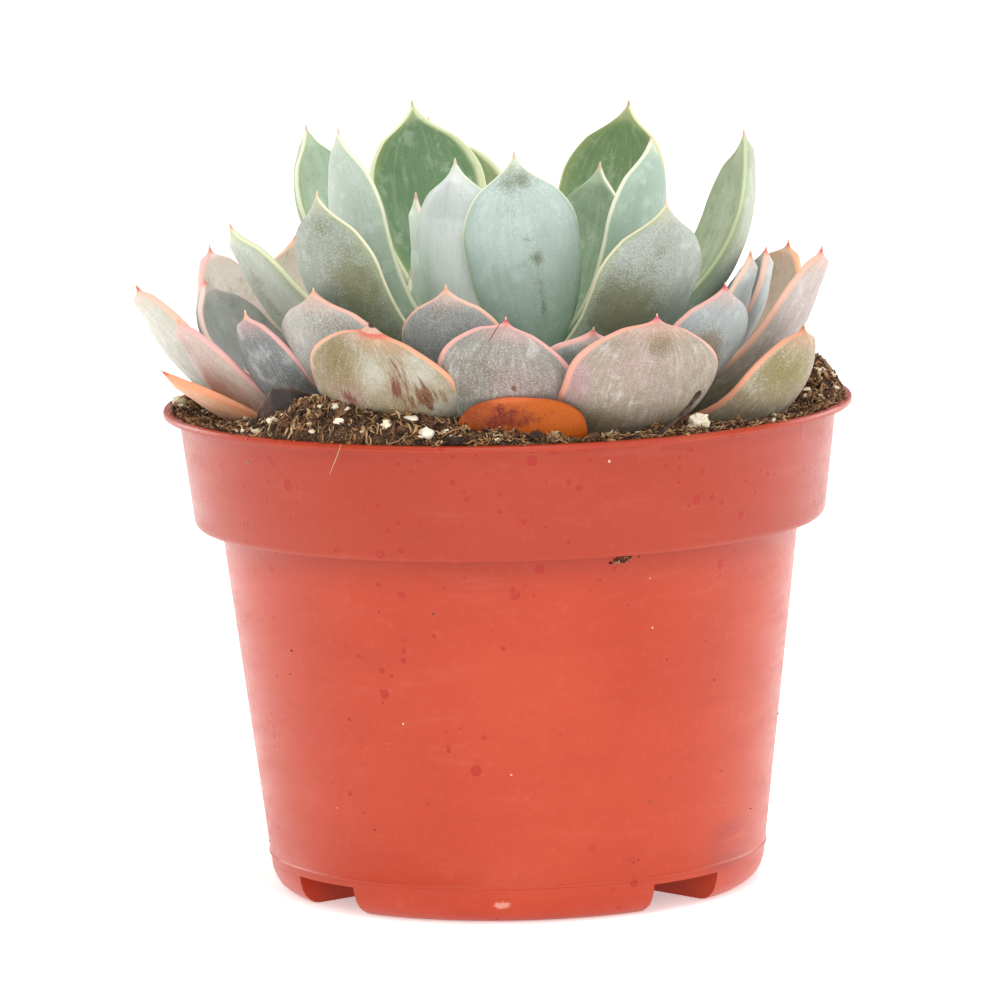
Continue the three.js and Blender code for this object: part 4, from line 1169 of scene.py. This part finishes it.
def body_spot(turn, height):
    """A point on the outside of the pot's body."""
    radius = body_radius(height)
    return radius * math.cos(turn), radius * math.sin(turn), height


# Name, three points from the axis, half width and shade.
HAIRS = (
    ("collar_hair", (-28.2, -53.4, 84.9), (-28.7, -52.6, 83.2), (-30.4, -49.3, 79.2), 0.1, 0.97),
    ("collar_speck", (-44.6, -37.2, 80.4), (-44.4, -37.1, 79.9), (-43.9, -37.2, 79.7), 0.16, 0.75),
    ("tip_thread", (-1.0, -56.9, 105.2), (-2.0, -57.4, 103.8), (-3.0, -57.6, 102.2), 0.13, 0.5),
)


def make_fallen_leaf():
    """A shed leaf on its side, half sunk in the soil: a thick rounded flake with a slightly hollow face."""
    _, _, middle, half = box_of("fallen_leaf")
    piece = primitive("uv_sphere", "fallen_leaf_flesh", segments=96, ring_count=60, radius=1)
    ball = points_of(piece)
    shape = np.sign(ball) * np.abs(ball) ** [0.86, 1.0, 0.8]
    x, y, z = shape.T
    z = z * (1 - 0.1 * x) + 0.04 * np.cos(2.2 * x)
    y = y * 0.8 + 0.3 * (x**2 - 0.4) - 0.3 * z + np.where(y < 0, 0.28 * (1 - x**2) * (1 - z**2), 0)
    lump = np.array([noise.noise(Vector(p) * 1.4) * 0.05 + noise.noise(Vector(p) * 4) * 0.012 for p in shape])
    set_points(piece, np.stack([x, y, z], -1) * (1 + lump)[:, None] * half + middle)
    settle(piece, fallen_finish(), "fallen_leaf", "fallen_leaf")


def make_dead_leaf():
    """A dried scrap of leaf: a thin sheet folded once, standing in the soil."""
    piece = primitive("grid", "dead_leaf_blade", x_subdivisions=60, y_subdivisions=36, size=2)
    u, v = points_of(piece).T[:2]
    v = (v + 1) / 2
    fold = -0.42
    right, left = np.clip((u - fold) / (1 - fold), 0, 1), np.clip((fold - u) / (1 + fold), 0, 1)
    top = 4.7 - 0.9 * right**1.4 + 0.25 * np.sin(4 * right) - 4.4 * left
    x = -1.9 + 6.6 * right - 3.0 * left
    bulge = 0.5 * np.sin(np.pi * right) * (0.4 + v) - 0.35 * np.sin(5 * v + 3 * right)
    y = 2.6 * left - 1.0 * (1 - np.abs(2 * right - 1)) * 0.4 - bulge * 0.6 + 0.7 * v
    z = -3.2 + (top + 3.2) * v
    spots = np.stack([x, y, z], -1)
    spots += [[0.16 * noise.noise(Vector(p) * 0.9)] * 3 for p in spots]
    set_points(piece, spots * 0.92 * MM + box_of("dead_leaf")[2] - [0, 0.001, 0.0019])
    shade = 0.12 + 0.5 * smooth(v, 0.93, 1) + 0.32 * smooth(left, 0.02, 0.2) + 0.3 * smooth(right, 0.96, 1)
    add_attribute(piece, "shade", shade)
    apply_modifier(piece, "SOLIDIFY", thickness=0.35 * MM, offset=0.0)
    settle(piece, shaded_finish("dead_leaf_skin", DEAD_STOPS, 0.55, 1.6, 0.2), "dead_leaf", "dead_leaf", 60)


def make_grain():
    """A lump of perlite: a dented, many-faced grain."""
    _, _, middle, half = box_of("perlite_grain")
    piece = primitive("ico_sphere", "perlite_grain_lump", subdivisions=5, radius=1)
    shape = points_of(piece)
    dents = [noise.noise(Vector(p) * 1.3) * 0.4 + noise.noise(Vector(p) * 3.5) * 0.16 for p in shape]
    shape = np.sign(shape) * np.abs(shape) ** 0.8 * (1 + np.array(dents))[:, None]
    set_points(piece, shape * half * 0.95 + middle)
    finish = plain_finish("perlite_lump", "dccba4", "fbf4e4", 0.85, 0.9, 0.25)
    settle(piece, finish, "perlite_grain", "perlite", 50)


def make_twig():
    """A dark twig, thickest near its blunt top end, leaning out of the soil."""
    low, high, _, _ = box_of("twig")
    start, end = np.array([low[0], (low[1] + high[1]) / 2, low[2]]), np.array([high[0], low[1], high[2]])
    piece = primitive("uv_sphere", "twig_stick", segments=16, ring_count=60, radius=1)
    ball = points_of(piece)
    share = np.arccos(np.clip(-ball[:, 2:], -1, 1)) / np.pi
    knots = 0.1 * np.sin(share * 23) + 0.06 * np.sin(share * 51)
    girth = 0.36 * MM * np.clip(np.sin(np.pi * share) * 9, 0, 1) ** 0.6 * (0.7 + 0.45 * share + knots)
    side = np.cross(end - start, [0, 1.0, 0])
    side /= np.linalg.norm(side)
    up = np.cross(side, (end - start) / np.linalg.norm(end - start))
    ring = ball[:, :2] / (np.linalg.norm(ball[:, :2], axis=1)[:, None] + 1e-9)
    bow = 0.5 * MM * np.sin(np.pi * share * 1.1)
    spots = start + share * (end - start) + (ring[:, :1] * girth - bow) * side - ring[:, 1:] * girth * up
    set_points(piece, spots)
    settle(piece, plain_finish("twig_bark", "1e140f", "4e3427", 0.8, 0.8, 0.2), "twig", "twig_wood")


def make_hairs():
    """Stray fibres stuck to the pot and to a leaf, each through three points from the axis."""
    skin = shaded_finish("hair", PEAT_STOPS, 0.8)
    share = np.linspace(0, 1, 14)[:, None]
    for name, first, middle, last, width, shade in HAIRS:
        first, middle, last = np.array(first), np.array(middle), np.array(last)
        path = (1 - share) ** 2 * first + 2 * share * (1 - share) * middle + share**2 * last
        settle(strands(name, path[None], [width], [shade], 1.0), skin, None, "potting_soil")


def make_stem():
    """The short stem: a narrow turned column with old leaf scars."""
    low, high, _, _ = box_of("stem")
    foot, top = low[2] / MM, high[2] / MM
    shoulder = RIM_TOP + STEM_SHOULDER
    profile = [(STEM_RADIUS * 0.5, foot), (STEM_RADIUS, foot + 8)]
    height = foot + 10
    while height < shoulder:
        profile += [(STEM_RADIUS - 0.25, height), (STEM_RADIUS, height + 1.2)]
        height += 3
    profile += [(STEM_RADIUS * 0.95, shoulder), (STEM_TIP_RADIUS, top - 0.4), (STEM_TIP_RADIUS * 0.5, top)]
    settle(turned("stem_core", profile, 40), stem_finish(), "stem", "stem_bark", 50)


# ---- stage


# Name, place, width and height of its panel, and power in watts.
LIGHTS = (
    ("key", (-0.7, -1.0, 1.1), (0.9, 0.9), 4),
    ("top", (0.25, -0.35, 1.6), (1.2, 1.2), 9),
    ("fill", (0.9, -0.7, 0.5), (0.8, 0.9), 2.2),
    ("front", (0, -1.6, 0.55), (1.2, 0.8), 6.5),
    ("left_panel", (-1.1, 0.75, 0.35), (0.8, 1.2), 10.5),
    ("right_panel", (1.1, 0.75, 0.35), (0.8, 1.2), 10),
)
LIT_SPOT = (0, 0, 0.07)
CAMERA_PLACE = (-0.0017, -1.5, 0.2812)  # from the axis
CAMERA_DIP, CAMERA_ROLL = 8.12, -1.37
SENSOR_MM, LENS_MM = 36, 312.5
SURROUND = 0.56  # strength of the white light from all round


def soft_light(name, spot, size, power):
    """A rectangular panel of light that faces the middle of the plant and pot."""
    lamp = bpy.data.lights.new(name, "AREA")
    lamp.shape = "RECTANGLE"
    lamp.size, lamp.size_y = size
    lamp.energy = power
    panel = bpy.data.objects.new(name, lamp)
    bpy.context.scene.collection.objects.link(panel)
    panel.location = spot
    panel.rotation_euler = (Vector(LIT_SPOT) - panel.location).to_track_quat("-Z", "Y").to_euler()


def make_camera():
    """A long lens a little above the rim, turned slightly about its own axis."""
    data = bpy.data.cameras.new("camera")
    data.sensor_width, data.lens = SENSOR_MM, LENS_MM
    data.clip_start, data.clip_end = 0.1, 20
    camera = bpy.data.objects.new("camera", data)
    bpy.context.scene.collection.objects.link(camera)
    camera.location = (AXIS_X + CAMERA_PLACE[0], *CAMERA_PLACE[1:])
    camera.rotation_mode = "QUATERNION"
    pitch = Quaternion((1, 0, 0), math.radians(90 - CAMERA_DIP))
    camera.rotation_quaternion = pitch @ Quaternion((0, 0, 1), math.radians(CAMERA_ROLL))
    bpy.context.scene.camera = camera


def make_stage():
    """A pale floor, a white surround, soft lights and the camera."""
    floor = primitive("plane", "floor", size=12, location=(0, 0, 0))
    floor.data.materials.append(floor_finish())
    world = bpy.data.worlds.new("studio")
    bpy.context.scene.world = world
    world.use_nodes = True
    backdrop = world.node_tree.nodes["Background"]
    backdrop.inputs["Color"].default_value = (1, 1, 1, 1)
    backdrop.inputs["Strength"].default_value = SURROUND
    for light in LIGHTS:
        soft_light(*light)
    make_camera()
    bpy.context.scene.view_settings.view_transform = "Standard"
    bpy.context.scene.view_settings.look = "None"


# ---- add-on


class SucculentPot(bpy.types.PropertyGroup):
    """Sizes of the pot"""

    sides: bpy.props.IntProperty(
        name="Sides", description="How many sides the round of the pot has", default=192, min=48
    )


class SucculentLeaves(bpy.types.PropertyGroup):
    """Sizes of the leaves"""

    bead: bpy.props.FloatProperty(
        name="Margin Radius",
        description="Radius of the rounded margin of a leaf",
        default=0.38 * MM,
        unit="LENGTH",
        precision=5,
    )
    rings: bpy.props.IntProperty(name="Rings", description="Rings along a leaf", default=96, min=24)
    around: bpy.props.IntProperty(name="Around", description="Points round a leaf", default=56, min=16)


class SucculentSoil(bpy.types.PropertyGroup):
    """Sizes of the soil"""

    cells: bpy.props.IntProperty(name="Cells", description="Cells across the soil", default=250, min=40)


class SUCCULENT_OT_pot(bpy.types.Operator):
    """Turn the pot and cut its feet and drain holes"""

    bl_idname = "succulent.pot"
    bl_label = "Pot"

    def execute(self, context):
        make_pot(context.scene.succulent_pot.sides)
        return {"FINISHED"}


class SUCCULENT_OT_stem(bpy.types.Operator):
    """Turn the stem that carries the leaves"""

    bl_idname = "succulent.stem"
    bl_label = "Stem"

    def execute(self, context):
        make_stem()
        return {"FINISHED"}


class SUCCULENT_OT_leaves(bpy.types.Operator):
    """Grow every leaf of the rosette"""

    bl_idname = "succulent.leaves"
    bl_label = "Leaves"

    def execute(self, context):
        sizes = context.scene.succulent_leaves
        finish = leaf_finish()
        for number, row in enumerate(LEAVES):
            leaf_piece(row, sizes.bead / MM, sizes.rings, sizes.around, finish, number)
        return {"FINISHED"}


class SUCCULENT_OT_soil(bpy.types.Operator):
    """Fill the pot with soil and scatter its fibres, crumbs and perlite"""

    bl_idname = "succulent.soil"
    bl_label = "Soil"

    def execute(self, context):
        leaves = [bpy.data.objects.get(row[0] + "_flesh") for row in LEAVES]
        if None in leaves:
            raise RuntimeError("grow the leaves before the soil, because it lies round them")
        soil_piece(context.scene.succulent_soil.cells, soil_finish())
        scatter_soil(Ground(leaf_tree(leaves), SEED))
        return {"FINISHED"}


class SUCCULENT_OT_litter(bpy.types.Operator):
    """Lay the fallen leaf, the dead leaf, the perlite grain and the twig on the soil"""

    bl_idname = "succulent.litter"
    bl_label = "Litter"

    def execute(self, context):
        for make in (make_fallen_leaf, make_dead_leaf, make_grain, make_twig, make_hairs):
            make()
        return {"FINISHED"}


class SUCCULENT_OT_stage(bpy.types.Operator):
    """Set up the floor, the lights and the camera"""

    bl_idname = "succulent.stage"
    bl_label = "Stage"

    def execute(self, context):
        make_stage()
        return {"FINISHED"}


class SUCCULENT_PT_panel(bpy.types.Panel):
    """Lists what can be built"""

    bl_label = "Potted Succulent"
    bl_space_type = "VIEW_3D"
    bl_region_type = "UI"
    bl_category = "Succulent"

    def draw(self, context):
        for group, kind in GROUPS.items():
            for name in kind.__annotations__:
                self.layout.prop(getattr(context.scene, group), name)
        for operator in OPERATORS:
            self.layout.operator(operator.bl_idname)


GROUPS = {"succulent_pot": SucculentPot, "succulent_leaves": SucculentLeaves, "succulent_soil": SucculentSoil}
OPERATORS = (
    SUCCULENT_OT_pot,
    SUCCULENT_OT_stem,
    SUCCULENT_OT_leaves,
    SUCCULENT_OT_soil,
    SUCCULENT_OT_litter,
    SUCCULENT_OT_stage,
)


def register():
    for kind in (*GROUPS.values(), *OPERATORS, SUCCULENT_PT_panel):
        bpy.utils.register_class(kind)
    for name, kind in GROUPS.items():
        setattr(bpy.types.Scene, name, bpy.props.PointerProperty(type=kind))


def unregister():
    for name in GROUPS:
        delattr(bpy.types.Scene, name)
    for kind in (SUCCULENT_PT_panel, *reversed(OPERATORS), *GROUPS.values()):
        bpy.utils.unregister_class(kind)


def main():
    """Builds the looks."""
    register()
    bpy.ops.succulent.pot()
    bpy.ops.succulent.stem()
    bpy.ops.succulent.leaves()
    bpy.ops.succulent.soil()
    bpy.ops.succulent.litter()
    bpy.ops.succulent.stage()


if __name__ == "__main__":
    main()
